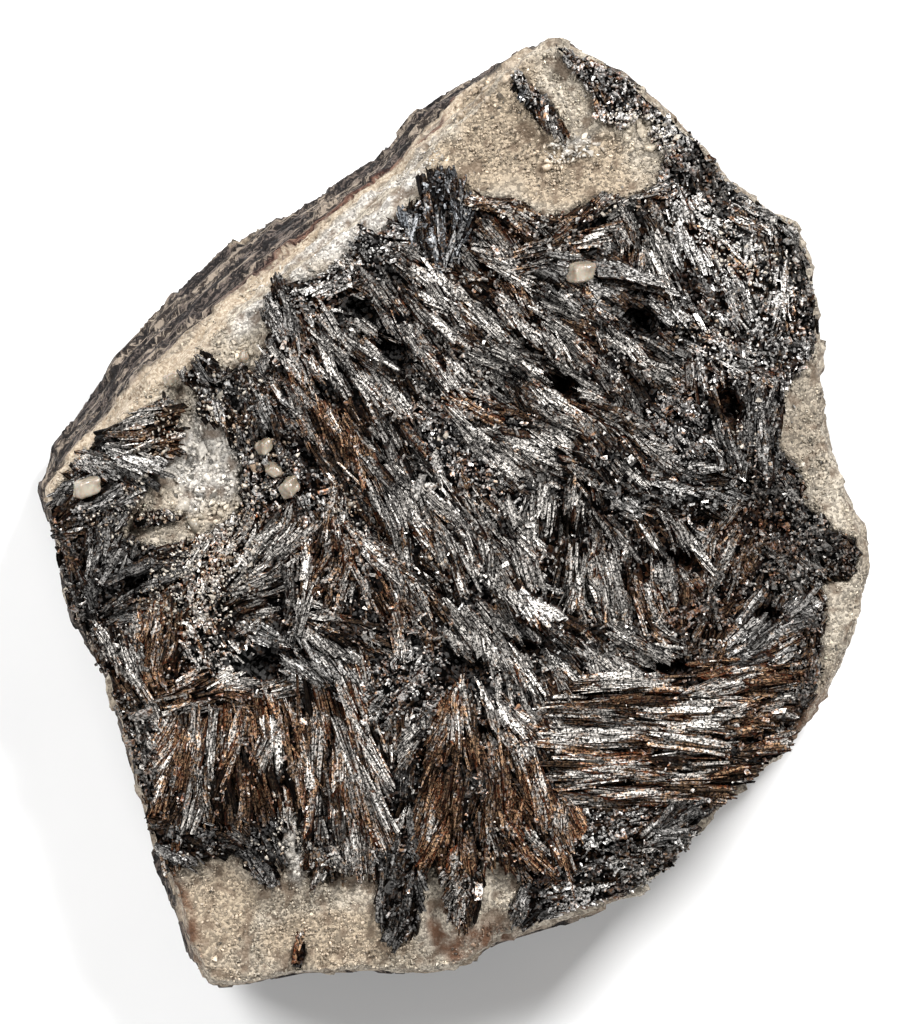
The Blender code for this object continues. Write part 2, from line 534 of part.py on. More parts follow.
def make_tuft(name, lump, laths, parts, cutters, material, swollen_slab):
    """A low lump of crystals with its own laths, resting on the bare matrix."""
    dice = random.Random(name)
    mesh = bmesh.new()
    x, y, length, width, heading = lump
    made = bmesh.ops.create_icosphere(mesh, subdivisions=1, radius=0.5)
    shape = Matrix.Diagonal((length, width, TUFT_HEIGHT, 1.0))
    turn = Matrix.Rotation(math.radians(heading), 4, "Z")
    middle = Vector((x, y, front_height(x, y) + 0.1))
    place = Matrix.Translation(middle * MM) @ Matrix.Scale(MM, 4)
    bmesh.ops.transform(mesh, verts=made["verts"], matrix=place @ turn @ shape)
    data = bpy.data.meshes.new(name)
    mesh.to_mesh(data)
    mesh.free()
    tuft = add_object(name, data, parts, material)
    for x, y, heading, length, width in laths:
        middle = (x, y, front_height(x, y) + 0.95)
        blade = lath_mesh(middle, heading, length, width, LATH_THICKNESS,
                          dice.uniform(-4.0, 6.0), dice.uniform(-20.0, 20.0))
        add_boolean(tuft, add_cutter(name + "_lath", blade, cutters), "UNION")
    add_boolean(tuft, swollen_slab, "DIFFERENCE")
    settle(tuft)
    return tuft


def calcite_mesh(name, x, y, length, width, heading, lift, grow=0.0):
    """A stubby rhombohedral crystal, sheared and chamfered.  `grow` makes its plain pocket."""
    mesh = bmesh.new()
    bmesh.ops.create_cube(mesh, size=1.0)
    shear = Matrix.Identity(4)
    shear[0][1] = 0.28
    shear[0][2] = 0.22
    size = Vector((length, width, CALCITE_HEIGHT)) + Vector((2.0, 2.0, 2.0)) * grow
    shape = Matrix.Diagonal((*size, 1.0))
    turn = Euler((0.25, 0.2, math.radians(heading))).to_matrix().to_4x4()
    middle = Vector((x, y, front_height(x, y) + lift))
    place = Matrix.Translation(middle * MM) @ Matrix.Scale(MM, 4)
    bmesh.ops.transform(mesh, verts=mesh.verts[:], matrix=place @ turn @ shape @ shear)
    if not grow:
        bmesh.ops.bevel(mesh, geom=mesh.edges[:], offset=CALCITE_CHAMFER * MM, segments=1,
                         affect="EDGES")
    data = bpy.data.meshes.new(name)
    mesh.to_mesh(data)
    mesh.free()
    return data


def make_calcite(crystal, parts, material, swollen_slab):
    calcite = add_object(crystal[0], calcite_mesh(*crystal), parts, material)
    add_boolean(calcite, swollen_slab, "DIFFERENCE")
    settle(calcite)
    return calcite


def centre_on_origin(parts):
    """Moves every mesh so that the specimen's box stands on z = 0 with its middle at the origin."""
    corners = [corner.co for part in parts for corner in part.data.vertices]
    low = Vector([min(corner[axis] for corner in corners) for axis in range(3)])
    high = Vector([max(corner[axis] for corner in corners) for axis in range(3)])
    shift = Vector((-0.5 * (low.x + high.x), -0.5 * (low.y + high.y), -low.z))
    for part in parts:
        part.data.transform(Matrix.Translation(shift))


def main():
    clear_scene()
    parts = new_collection("betekhtinite_specimen")
    cutters = new_collection("cutters")
    rock = new_material("carbonate_matrix", (0.47, 0.41, 0.33), 0.85)
    sulphide = new_material("betekhtinite", (0.11, 0.10, 0.10), 0.38, metallic=0.85)
    calcite = new_material("calcite", (0.72, 0.68, 0.60), 0.35)

    matrix = add_object("matrix", slab_mesh("matrix"), parts, rock)
    swollen_slab = add_cutter("swollen_slab", slab_mesh("swollen_slab", GAP), cutters)
    pockets = []
    for name, *crystal in CALCITES:
        pocket = calcite_mesh(name + "_pocket", *crystal, GAP)
        pockets.append(add_cutter(name + "_pocket", pocket, cutters))
    pieces = [matrix, make_crust(parts, cutters, sulphide, swollen_slab, pockets)]
    for name, lump, laths in TUFTS:
        pieces.append(make_tuft(name, lump, laths, parts, cutters, sulphide, swollen_slab))
    for crystal in CALCITES:
        pieces.append(make_calcite(crystal, parts, calcite, swollen_slab))
    centre_on_origin(pieces)


main()
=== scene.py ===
"""Looks of the betekhtinite specimen.

A slab of pale carbonate on dark bedded shale lies on its back.  Its face is covered with thousands
of fine betekhtinite laths in criss-crossing sheaves, stained with rust and dotted with calcite.
Tables are in millimetres; MM turns them into Blender's metres.
"""

import json
import math

import bmesh
import bpy
import numpy as np
from mathutils import Matrix, Vector, noise
from mathutils.bvhtree import BVHTree

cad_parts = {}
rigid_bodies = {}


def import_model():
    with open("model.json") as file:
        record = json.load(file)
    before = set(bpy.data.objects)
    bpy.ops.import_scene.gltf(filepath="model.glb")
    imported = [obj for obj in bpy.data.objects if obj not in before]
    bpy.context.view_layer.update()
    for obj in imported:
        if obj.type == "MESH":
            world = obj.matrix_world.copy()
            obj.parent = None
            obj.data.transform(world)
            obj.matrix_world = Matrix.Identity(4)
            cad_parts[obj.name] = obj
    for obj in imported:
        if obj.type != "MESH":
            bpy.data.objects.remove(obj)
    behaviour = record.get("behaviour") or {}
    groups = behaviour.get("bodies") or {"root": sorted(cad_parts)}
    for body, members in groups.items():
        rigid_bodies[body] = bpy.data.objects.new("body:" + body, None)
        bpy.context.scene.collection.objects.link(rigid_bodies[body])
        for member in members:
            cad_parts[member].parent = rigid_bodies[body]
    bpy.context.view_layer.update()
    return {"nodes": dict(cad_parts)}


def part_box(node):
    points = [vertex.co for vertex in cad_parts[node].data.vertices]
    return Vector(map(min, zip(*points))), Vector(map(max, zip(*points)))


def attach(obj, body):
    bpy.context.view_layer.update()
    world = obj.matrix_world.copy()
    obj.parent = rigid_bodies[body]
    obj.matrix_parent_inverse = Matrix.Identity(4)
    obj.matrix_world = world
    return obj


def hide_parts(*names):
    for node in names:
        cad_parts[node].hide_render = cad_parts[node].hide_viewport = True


MM = 0.001

# How finely the rock is meshed, and how many laths and grains are tried on a square millimetre
ROCK_VOXEL = 0.29
LATHS_TRIED = 20.0
GRAINS_TRIED = 24.0

FACE_FLOOR = 11.0  # the slab's front face lies above this height
HEADROOM = 0.30  # how far laths and grains may stand above the highest lath of the CAD
CHIPS_PART_AT = 8.0  # the y at which the north chips end and the south chips start
GRAINS_PART_AT = 6.0  # the same for the calcite grains
SIZE_SPREAD = 0.12  # share by which the size of a lath, chip or grain is varied once more
STEEPEST = math.radians(24.0)  # slope at which a lath no longer bridges from end to end

# Relief of the carbonate: its sugar, lumps, small hollows and broken facets
SUGAR_RELIEF, LUMP_RELIEF, HOLLOW_DEPTH, BREAK_RELIEF = 0.12, 0.16, 0.14, 0.42

# Relief of the shale: thickness of a bed, its step and broken facets, and its flatter top and base
BED_THICKNESS, BED_STEP, BED_BREAK, BED_TOP = 0.85, 0.40, 0.30, 0.10

# Rise of the carbonate against the crust, how far from the crust it starts, and height of a heap
SKIRT_RISE, SKIRT_REACH, HEAP_RISE = 0.62, 1.6, 1.4

# Lights: name, place and size in metres, power in watts
LIGHTS = (
    ("key", (0.22, 0.30, 0.44), 0.14, 4.8),
    ("fill", (-0.34, 0.22, 0.38), 0.26, 3.2),
    ("low_fill", (0.05, -0.44, 0.34), 0.26, 1.5),
)

# Sheaves of laths, group by group: x, y, heading in degrees from +X, length, width, kind
NORTH_SHEAVES = (
    (-0.5, 19.5, 96, 6.2, 3.4, "blue"), (3.6, 19.6, -14, 5.4, 2.6, "brown"),
    (8.0, 18.7, 32, 8.5, 2.2, "brown"), (12.6, 18.6, -58, 5.0, 3.0, "grey"),
    (-4.6, 17.2, -25, 5.0, 2.6, "grain"), (-9.4, 14.4, 20, 4.2, 2.2, "grain"),
    (-11.3, 12.6, -65, 5.0, 2.4, "dark"), (10.6, 28.0, -42, 5.0, 2.2, "grain"),
    (15.2, 23.6, -60, 5.0, 2.6, "grain"), (18.6, 19.4, -30, 4.6, 2.6, "glint"),
    (16.4, 17.4, -55, 4.6, 3.0, "glint"), (20.8, 16.6, -70, 5.0, 2.6, "glint"),
    (17.6, 14.2, -50, 4.6, 3.0, "glint"), (22.0, 12.6, -85, 4.6, 2.2, "grain"),
    (23.6, 16.0, -80, 7.0, 1.3, "crumb"), (16.6, 22.6, -55, 7.0, 1.2, "crumb"),
    (18.4, 10.6, -20, 4.6, 2.8, "grain"),
)
CENTRE_SHEAVES = (
    (-2.5, 15.5, -28, 8.0, 3.2, "grey"), (3.0, 14.9, -32, 9.0, 3.2, "grey"),
    (9.6, 15.4, -22, 7.0, 3.2, "smooth"), (0.6, 12.0, -34, 10.0, 3.2, "grey"),
    (6.2, 12.2, -36, 9.0, 3.2, "grey"), (13.2, 12.6, -24, 6.0, 3.0, "dark"),
    (-2.6, 9.4, -38, 9.0, 3.2, "light"), (4.2, 9.2, -32, 9.0, 3.2, "light"),
    (11.0, 9.6, -38, 7.5, 3.2, "grey"), (2.6, 6.6, -20, 8.0, 2.8, "brown"),
    (8.8, 6.8, -26, 7.5, 3.0, "light"), (4.4, 4.2, -20, 8.0, 2.6, "light"),
    (11.2, 3.4, -34, 7.0, 3.0, "grey"), (14.6, 1.2, -12, 6.5, 2.8, "dark"),
    (15.0, 6.4, -30, 5.0, 3.0, "grain"), (18.4, 6.8, -62, 5.6, 2.8, "dark"),
    (20.4, 5.0, -84, 6.0, 2.0, "dark"), (21.6, 1.2, -40, 4.4, 2.8, "crumb"),
)
WEST_SHEAVES = (
    (-15.4, 7.6, -46, 6.4, 2.8, "dark"), (-12.6, 6.2, -54, 7.2, 3.0, "dark"),
    (-9.4, 8.6, -50, 7.4, 3.0, "brown"), (-6.4, 8.0, -52, 8.0, 3.0, "light"),
    (-3.8, 5.4, -58, 8.0, 3.0, "light"), (-7.2, 3.8, -56, 7.0, 3.0, "rust"),
    (-11.0, 2.4, -48, 5.0, 2.4, "grain"), (-0.6, 4.6, -52, 6.0, 2.8, "grain"),
    (-22.4, 3.3, -10, 4.8, 2.2, "smooth"), (-20.8, 5.2, 24, 3.6, 1.8, "brown"),
    (-23.8, 0.8, 30, 3.6, 2.2, "dark"), (-23.2, -2.8, 75, 4.0, 2.4, "black"),
    (-21.6, -5.0, 25, 4.4, 2.6, "black"), (-24.4, -5.4, -60, 3.6, 2.2, "black"),
    (-12.6, -4.2, 50, 6.4, 2.2, "light"), (-10.4, -6.0, 94, 4.6, 2.6, "grey"),
    (-16.2, -4.6, 65, 4.4, 2.6, "speckle"), (-16.6, -8.6, -60, 4.4, 3.0, "speckle"),
    (-21.6, -11.2, -56, 5.0, 2.6, "grey"), (-19.0, -8.0, 80, 3.6, 2.4, "rust"),
    (-25.4, -6.4, -70, 5.0, 1.6, "crumb"), (-23.2, -11.0, -60, 5.0, 1.2, "crumb"),
    (-21.0, -15.6, -70, 5.0, 1.4, "crumb"), (-14.6, 9.6, 30, 3.0, 1.4, "crumb"),
)
SOUTH_WEST_SHEAVES = (
    (-3.6, 0.0, -54, 9.0, 3.2, "light"), (-0.4, -2.6, -52, 10.0, 3.2, "light"),
    (2.8, -3.0, -58, 7.5, 2.6, "light"), (-4.6, -4.2, -46, 8.6, 3.4, "brown"),
    (-7.6, -3.4, -86, 7.0, 2.6, "brown"), (-8.4, -7.6, -20, 5.0, 2.4, "grey"),
    (-14.8, -12.2, 8, 7.0, 2.6, "brown"), (-9.2, -10.4, 150, 5.0, 2.2, "smooth"),
    (-7.2, -16.6, -74, 8.4, 4.6, "fan"), (-14.6, -17.0, -88, 7.4, 3.2, "rust"),
    (-11.4, -16.8, -78, 7.4, 3.0, "rust"), (-17.8, -17.2, -92, 7.0, 2.8, "rust"),
    (-9.0, -21.6, -84, 4.0, 2.4, "grey"), (-12.4, -22.2, -40, 4.6, 2.4, "black"),
    (-17.0, -21.8, -12, 4.4, 2.2, "black"), (-3.4, -16.6, 82, 6.8, 2.8, "grey"),
    (-3.0, -12.2, 40, 5.0, 2.8, "grain"), (-3.7, -25.2, -88, 7.0, 2.2, "black"),
    (-0.4, -18.2, -90, 8.2, 3.0, "red"), (0.6, -24.6, -88, 5.2, 2.0, "brown"),
    (2.8, -18.4, -76, 8.4, 3.0, "red"),
)
SOUTH_EAST_SHEAVES = (
    (8.4, -3.2, -78, 8.0, 3.2, "light"), (11.4, -4.4, -68, 7.4, 3.0, "grey"),
    (6.2, -7.0, -30, 5.0, 2.6, "smooth"), (5.0, -11.4, -60, 6.4, 2.8, "grey"),
    (12.6, -8.8, -26, 6.4, 2.8, "grey"), (16.4, -7.2, 84, 5.6, 3.0, "umber"),
    (20.8, -8.4, 40, 5.4, 2.8, "smooth"), (18.8, -2.6, 70, 5.0, 2.8, "umber"),
    (22.6, -3.4, -34, 4.6, 2.8, "crumb"), (25.2, -2.8, -50, 2.8, 2.0, "crumb"),
    (24.0, -9.4, 80, 4.6, 2.0, "crumb"), (23.0, -13.6, 60, 3.6, 1.6, "crumb"),
    (14.6, -3.0, -56, 4.8, 2.8, "grey"), (18.0, -11.2, 10, 7.6, 2.2, "rust"),
    (13.0, -13.0, 2, 9.0, 2.4, "warm"), (20.6, -13.6, 14, 5.4, 2.2, "brown"),
    (12.6, -15.0, 1, 9.5, 2.4, "warm"), (12.8, -16.8, 3, 9.0, 2.2, "warm"),
    (19.4, -16.0, 16, 5.0, 2.2, "red"), (11.4, -18.6, 4, 8.5, 2.2, "warm"),
    (4.8, -15.0, -50, 6.0, 2.8, "brown"), (6.4, -19.8, -62, 7.4, 2.8, "red"),
    (3.8, -21.8, -62, 5.4, 2.4, "brown"), (10.2, -21.2, 18, 6.0, 2.6, "grain"),
    (14.4, -20.6, 40, 4.0, 2.4, "dark"), (8.6, -24.4, 18, 5.6, 2.4, "grain"),
    (12.6, -23.4, 26, 4.0, 2.0, "crumb"), (5.2, -25.6, 60, 3.4, 2.2, "black"),
)
SHEAF_GROUPS = {
    "laths_north": NORTH_SHEAVES, "laths_centre": CENTRE_SHEAVES, "laths_west": WEST_SHEAVES,
    "laths_south_west": SOUTH_WEST_SHEAVES, "laths_south_east": SOUTH_EAST_SHEAVES,
}

# How each kind of sheaf looks: brightness, rust, blue, share of grains among its laths, and the
# usual length and width of a lath
KINDS = {
    "light": (1.16, 0.22, 0.0, 0.16, 1.3, 0.18),
    "warm": (1.60, 0.46, 0.0, 0.10, 2.5, 0.17),
    "fan": (1.40, 0.52, 0.0, 0.10, 2.3, 0.17),
    "grey": (1.02, 0.27, 0.0, 0.22, 1.1, 0.18),
    "smooth": (1.05, 0.20, 0.1, 0.14, 1.2, 0.30),
    "brown": (1.10, 0.52, 0.0, 0.30, 1.1, 0.18),
    "umber": (0.66, 0.68, 0.0, 0.40, 1.0, 0.19),
    "rust": (1.30, 0.78, 0.0, 0.18, 1.7, 0.18),
    "red": (1.04, 0.92, 0.0, 0.18, 1.6, 0.18),
    "dark": (0.68, 0.34, 0.1, 0.35, 0.9, 0.22),
    # the black sheaves lie along the west and south rims; their low brightness is partly the
    # sulphide's own black and partly painted shade where the rims turn down
    "black": (0.40, 0.34, 0.1, 0.40, 0.9, 0.22),
    "crumb": (0.50, 0.46, 0.0, 0.80, 0.6, 0.20),
    "blue": (0.78, 0.20, 0.4, 0.25, 1.2, 0.20),
    "grain": (1.05, 0.36, 0.1, 0.75, 0.6, 0.17),
    "glint": (1.16, 0.18, 0.1, 0.45, 0.8, 0.22),
    "speckle": (1.85, 0.44, 0.0, 0.60, 0.7, 0.18),
}
SPLINTERED_SHARE = 0.08  # share of the laths that are splintered bundles
NO_BUNDLES = ("grain", "glint", "speckle")

# The laths of a kind that keeps its heading stray from it by less than the others
STRAY = {"warm": 0.35, "fan": 0.6}

# A sheaf is divided into bundles of this size, whose laths share their height and shade
BUNDLE_WIDTH = 0.95
BUNDLE_LENGTH = 2.7

# Pits in the crust, where few laths stand: x, y, half length, half width, heading
PITS = (
    (-12.2, -10.1, 1.9, 1.1, 10), (0.8, -10.4, 1.8, 1.2, 0), (15.0, -3.2, 1.5, 1.1, 0),
    (12.5, 12.8, 1.6, 1.0, -30), (7.4, 8.4, 1.6, 0.8, -30), (-4.0, 10.8, 1.6, 1.0, -50),
    (-6.0, 13.4, 1.3, 0.8, -20), (18.6, 7.2, 1.4, 0.7, -70), (21.0, -6.8, 1.2, 0.8, 0),
    (-21.0, -4.7, 1.2, 0.7, 60), (-9.6, 3.6, 1.4, 0.7, -60), (7.5, -0.3, 1.4, 0.7, -60),
    (14.0, -10.3, 1.4, 0.7, 0), (9.0, -12.3, 1.1, 0.6, 0), (5.0, -9.0, 1.7, 0.6, -8),
    (2.2, -14.6, 1.1, 0.7, 20),
)

# The plane between the carbonate and the shale: its height under the origin, how much it falls for
# each millimetre, and the heading that it falls towards
CONTACT_HEIGHT = 6.2
CONTACT_FALL = 0.162
CONTACT_HEADING = math.radians(-6.0)

# Cream seams along the brow and along the rim below it: x, y, half width
BROW_SEAM = (
    (-27.6, 0.8, 0.7), (-27.0, 2.0, 0.8), (-24.4, 5.2, 0.95), (-21.4, 7.3, 0.75),
    (-18.2, 10.1, 0.5), (-15.1, 13.6, 0.42), (-12.6, 15.7, 0.36), (-10.2, 17.9, 0.26),
    (-8.3, 19.4, 0.22), (-5.8, 21.6, 0.2), (-3.9, 22.9, 0.18), (-1.0, 25.6, 0.16),
    (1.0, 28.8, 0.16),
)
RIM_SEAM = (
    (-15.1, 17.6, 0.1), (-13.0, 19.0, 0.22), (-11.4, 20.2, 0.28), (-8.9, 21.8, 0.42),
    (-6.5, 23.4, 0.34), (-4.2, 25.4, 0.2), (-2.0, 27.4, 0.1),
)

# Patches of bare rock: x, y, half length, half width, heading, for each hue
BLEACHED = (
    (-6.5, 20.2, 6.2, 2.1, 50), (-3.0, 23.2, 3.2, 1.5, 56), (-12.0, 14.4, 3.4, 1.2, 42),
    (-16.8, 3.4, 2.8, 3.4, 60), (7.8, 24.2, 1.6, 0.9, 10), (-10.7, -22.4, 1.0, 2.4, 8),
)
OCHRE = (
    (3.6, 25.4, 4.2, 3.2, -30), (8.8, 22.6, 4.4, 2.0, 0), (0.6, 23.4, 3.0, 2.4, 30),
    (-15.8, -27.0, 2.8, 4.0, 15), (-8.6, -28.6, 5.5, 2.0, 0), (3.2, 28.6, 2.6, 1.8, 30),
)
STAINED = (
    (1.8, -28.8, 2.6, 1.4, 20), (7.5, -26.6, 3.4, 1.0, 20), (-18.2, -27.4, 1.0, 4.6, 14),
    (22.8, -14.4, 1.2, 3.2, -40), (24.8, 8.6, 0.5, 2.4, 5),
    (-0.6, -27.8, 1.2, 1.8, 0), (-19.8, -17.2, 1.0, 3.0, 12),
)

# Patches of the bare rock with coarse calcite grains
COARSE = (
    (-16.8, 2.6, 3.4, 4.4, 60), (-13.4, 10.4, 2.0, 1.4, 30), (7.8, 24.4, 2.4, 1.2, 10),
    (12.8, 25.0, 1.6, 1.6, 0), (3.4, 28.6, 2.2, 1.2, 30), (-0.6, 26.4, 1.4, 1.0, 50),
    (-10.7, -22.4, 1.0, 2.4, 8),
)

# Heaps of calcite in the notches of the crust
HEAPS = (
    (-10.7, -22.6, 0.75, 2.0, 8),
)

# Patches of the crust where pale calcite grains lie among the laths, and how thickly
SPECKLED = (
    ((-17.2, -4.6, 3.6, 2.8, 0), 1.0), ((-14.6, 8.6, 2.2, 1.2, 20), 0.35),
    ((-17.0, 2.0, 5.6, 5.0, 60), 0.75), ((-20.6, -0.8, 3.4, 1.8, 0), 0.60),
    ((-12.2, 3.4, 2.0, 2.0, 0), 0.45), ((19.4, 16.6, 3.4, 2.2, -40), 0.42),
    ((12.6, 25.2, 2.4, 1.4, -30), 1.4), ((17.2, 11.6, 2.4, 1.6, -40), 0.30),
    ((-1.2, -2.9, 0.8, 1.0, 60), 0.8), ((0.2, 5.4, 2.2, 1.4, -50), 0.12),
    ((-13.0, -22.6, 5.0, 1.2, 0), 0.30), ((8.4, -6.8, 3.0, 1.2, 0), 0.10),
    ((-10.9, -21.6, 0.9, 2.2, 10), 1.5), ((-7.6, -22.6, 1.6, 1.4, 0), 0.50),
    ((2.4, -22.0, 3.4, 1.6, 0), 0.12),
    ((8.4, 15.8, 1.6, 1.4, 0), 0.35), ((-7.0, 0.6, 2.0, 1.0, -40), 0.45),
    ((5.6, 20.2, 7.0, 0.9, 0), 0.35), ((20.0, 5.0, 1.2, 3.0, 0), 0.15),
)

# Patches of the crust where laths and grains are painted brighter, as painted glints: x, y, half
# length, half width, heading
GLINT_PAINT_PATCHES = (
    (18.0, 17.8, 4.0, 1.8, -42), (21.6, 14.6, 1.8, 1.3, -60), (16.2, 12.0, 1.8, 1.4, -60),
    (12.4, 25.0, 2.2, 1.4, -30), (17.8, 9.2, 1.4, 1.4, 0), (5.4, -6.6, 1.2, 0.8, 0),
)

# Colours of calcite grains: among the laths, stained among the laths, and by the rock under them
GRAIN_IN_CRUST = (0.42, 0.375, 0.315)
GRAIN_IN_RUST = (0.20, 0.145, 0.10)
GRAIN_PLAIN = (0.37, 0.32, 0.25)
GRAIN_BLEACHED = (0.47, 0.435, 0.385)
GRAIN_OCHRE = (0.36, 0.29, 0.215)
GRAIN_STAINED = (0.12, 0.06, 0.03)

# Colours of the sulphide, of rust from its crevices to its crests, and of the rock
LATH_STEEL, LATH_BLUE = (0.395, 0.372, 0.345), (0.20, 0.28, 0.38)
CHIP_STEEL, CHIP_BLUE = (0.42, 0.40, 0.375), (0.24, 0.30, 0.38)
RUST_DEEP, RUST_PALE = (0.120, 0.030, 0.008), (0.270, 0.170, 0.098)
CARBONATE_DIM, CARBONATE = (0.31, 0.26, 0.20), (0.42, 0.37, 0.30)
CARBONATE_BLEACHED, CARBONATE_OCHRE = (0.46, 0.43, 0.39), (0.335, 0.27, 0.195)
CARBONATE_SPECK, CARBONATE_PORE = (0.10, 0.07, 0.05), (0.13, 0.09, 0.06)
CARBONATE_STAIN = (0.11, 0.055, 0.03)
CREAM_DIM, CREAM, CREAM_FLECK = (0.31, 0.245, 0.175), (0.49, 0.41, 0.315), (0.13, 0.085, 0.055)

# Camera: its height and the height of the face that it frames, in metres, and how much it frames
CAMERA_HEIGHT = 0.9
FACE_HEIGHT = 0.013
FRAMED = 0.06827
SENSOR = 36.0

# Small tools

def pore(point):
    """How much of a point on the bare rock lies in one of its small brown hollows."""
    return ramp(0.22, 0.52, rumple(point, 0.8, 7.0))


def fracture(point, size):
    """Tilted facets of broken rock, about as wide as the size: from about -1 to 1."""
    spot = Vector(point) / size
    middle = noise.voronoi(spot)[1][0]
    tilt = 2.0 * noise.cell_vector(3.7 * middle) - Vector((1.0, 1.0, 1.0))
    return 1.2 * (spot - middle).dot(tilt) + 0.4 * tilt.x


def rumple(point, size, seed=0.0):
    """Smooth noise from about -1 to 1 at a point in millimetres, with lumps of that size."""
    return 1.6 * noise.noise((Vector(point) / size) + Vector((seed, 2.0 * seed, -seed)))


def chance(seed, *numbers):
    """The same random number from -1 to 1 every time for the same whole numbers."""
    first, second, third = numbers
    return 2.0 * noise.cell(Vector((first + 0.5, second + 0.5 + 37.0 * seed, third + 0.5))) - 1.0


def ramp(low, high, value):
    """From 0 at the low end to 1 at the high end, with soft ends."""
    share = min(1.0, max(0.0, (value - low) / (high - low)))
    return share * share * (3.0 - 2.0 * share)


def patch_weight(x, y, patches):
    """How much of a point lies in the listed ellipses, with soft and ragged edges."""
    weight = 0.0
    ragged = 0.35 * rumple((x, y, 5.0), 2.2)
    for middle_x, middle_y, half_length, half_width, heading in patches:
        angle = math.radians(heading)
        along = (x - middle_x) * math.cos(angle) + (y - middle_y) * math.sin(angle)
        across = (y - middle_y) * math.cos(angle) - (x - middle_x) * math.sin(angle)
        reach = math.hypot(along / half_length, across / half_width) + ragged
        weight = max(weight, 1.0 - ramp(0.7, 1.25, reach))
    return weight


def new_object(name, data, material=None):
    obj = bpy.data.objects.new(name, data)
    bpy.context.scene.collection.objects.link(obj)
    if material:
        data.materials.clear()
        data.materials.append(material)
    return obj


def evaluated_mesh(obj):
    graph = bpy.context.evaluated_depsgraph_get()
    graph.update()
    return bpy.data.meshes.new_from_object(obj.evaluated_get(graph))


def remeshed(name, node, voxel):
    """A finely meshed copy of a CAD node, `voxel` millimetres from point to point."""
    data = frame["nodes"][node].data.copy()
    data.transform(Matrix.Scale(1.0 / MM, 4))
    mesh = bmesh.new()
    mesh.from_mesh(data)
    bmesh.ops.remove_doubles(mesh, verts=mesh.verts[:], dist=0.002)
    mesh.to_mesh(data)
    mesh.free()
    obj = new_object(name, data)
    modifier = obj.modifiers.new("remesh", "REMESH")
    modifier.mode = "VOXEL"
    modifier.voxel_size = voxel
    modifier.use_smooth_shade = True
    fine = evaluated_mesh(obj)
    bpy.data.objects.remove(obj, do_unlink=True)
    fine.name = name
    return fine


def vectors_of(data, field):
    """The places ("co") or normals ("normal") of all points of a mesh."""
    flat = np.empty(len(data.vertices) * 3, np.float32)
    data.vertices.foreach_get(field, flat)
    return flat.reshape(-1, 3).astype(np.float64)


def put_points(data, points):
    """Sets the places of all points, given in millimetres."""
    data.vertices.foreach_set("co", np.asarray(points * MM, np.float32).ravel())
    data.update()


def push_out(data, relief):
    """Moves each point along its normal by relief(point), and gives the new places."""
    points = vectors_of(data, "co")
    normals = vectors_of(data, "normal")
    for index, point in enumerate(points):
        points[index] = point + normals[index] * relief(point)
    put_points(data, points)
    return points


def store(data, name, values):
    """Writes one number, or one vector, for each point of the mesh."""
    values = np.asarray(values)
    if values.ndim == 2:
        kind, field = "FLOAT_VECTOR", "vector"
    elif values.dtype.kind == "i":
        kind, field = "INT", "value"
    else:
        kind, field = "FLOAT", "value"
    attribute = data.attributes.new(name, kind, "POINT")
    attribute.data.foreach_set(field, values.ravel().astype("i4" if kind == "INT" else "f4"))


# Shader tools

class Nodes:
    """Adds nodes to a tree and links or sets their inputs in one call each."""

    def __init__(self, tree):
        self.tree = tree

    def put(self, socket, value):
        """Links another node's output to the socket, or sets the plain value on it."""
        if isinstance(value, bpy.types.NodeSocket):
            self.tree.links.new(value, socket)
        else:
            socket.default_value = value

    def add(self, kind, inputs=None, **settings):
        made = self.tree.nodes.new(kind)
        for name, value in settings.items():
            setattr(made, name, value)
        for name, value in (inputs or {}).items():
            self.put(made.inputs[name], value)
        return made

    def math(self, operation, first, second):
        made = self.add("ShaderNodeMath", {0: first, 1: second}, operation=operation)
        return made.outputs[0]

    def plus(self, first, second):
        return self.math("ADD", first, second)

    def times(self, first, second):
        return self.math("MULTIPLY", first, second)

    def ramp(self, value, low, high, out_low=0.0, out_high=1.0):
        made = self.add("ShaderNodeMapRange", {
            "Value": value, "From Min": low, "From Max": high,
            "To Min": out_low, "To Max": out_high}, interpolation_type="SMOOTHSTEP")
        return made.outputs["Result"]

    def mix(self, share, first, second, blend="MIX"):
        made = self.tree.nodes.new("ShaderNodeMix")
        made.data_type = "RGBA"
        made.blend_type = blend
        for index, value in ((0, share), (6, first), (7, second)):
            self.put(made.inputs[index], (*value, 1.0) if isinstance(value, tuple) else value)
        return made.outputs[2]

    def grey(self, value):
        """A grey of that brightness."""
        return self.add("ShaderNodeCombineXYZ", {0: value, 1: value, 2: value}).outputs[0]

    def shaded(self, colour, value):
        """A colour times a number."""
        return self.mix(1.0, colour, self.grey(value), "MULTIPLY")

    def noise(self, vector, scale, detail=3.0, rough=0.55):
        made = self.add("ShaderNodeTexNoise", {
            "Vector": vector, "Scale": scale, "Detail": detail, "Roughness": rough})
        return made.outputs["Fac"]

    def scaled(self, vector, factors):
        made = self.add("ShaderNodeVectorMath", {0: vector, 1: factors}, operation="MULTIPLY")
        return made.outputs[0]

    def split(self, vector):
        return self.add("ShaderNodeSeparateXYZ", {0: vector}).outputs

    def attribute(self, name, output="Fac"):
        return self.add("ShaderNodeAttribute", attribute_name=name).outputs[output]

    def group(self, tree, inputs):
        return self.add("ShaderNodeGroup", inputs, node_tree=tree).outputs


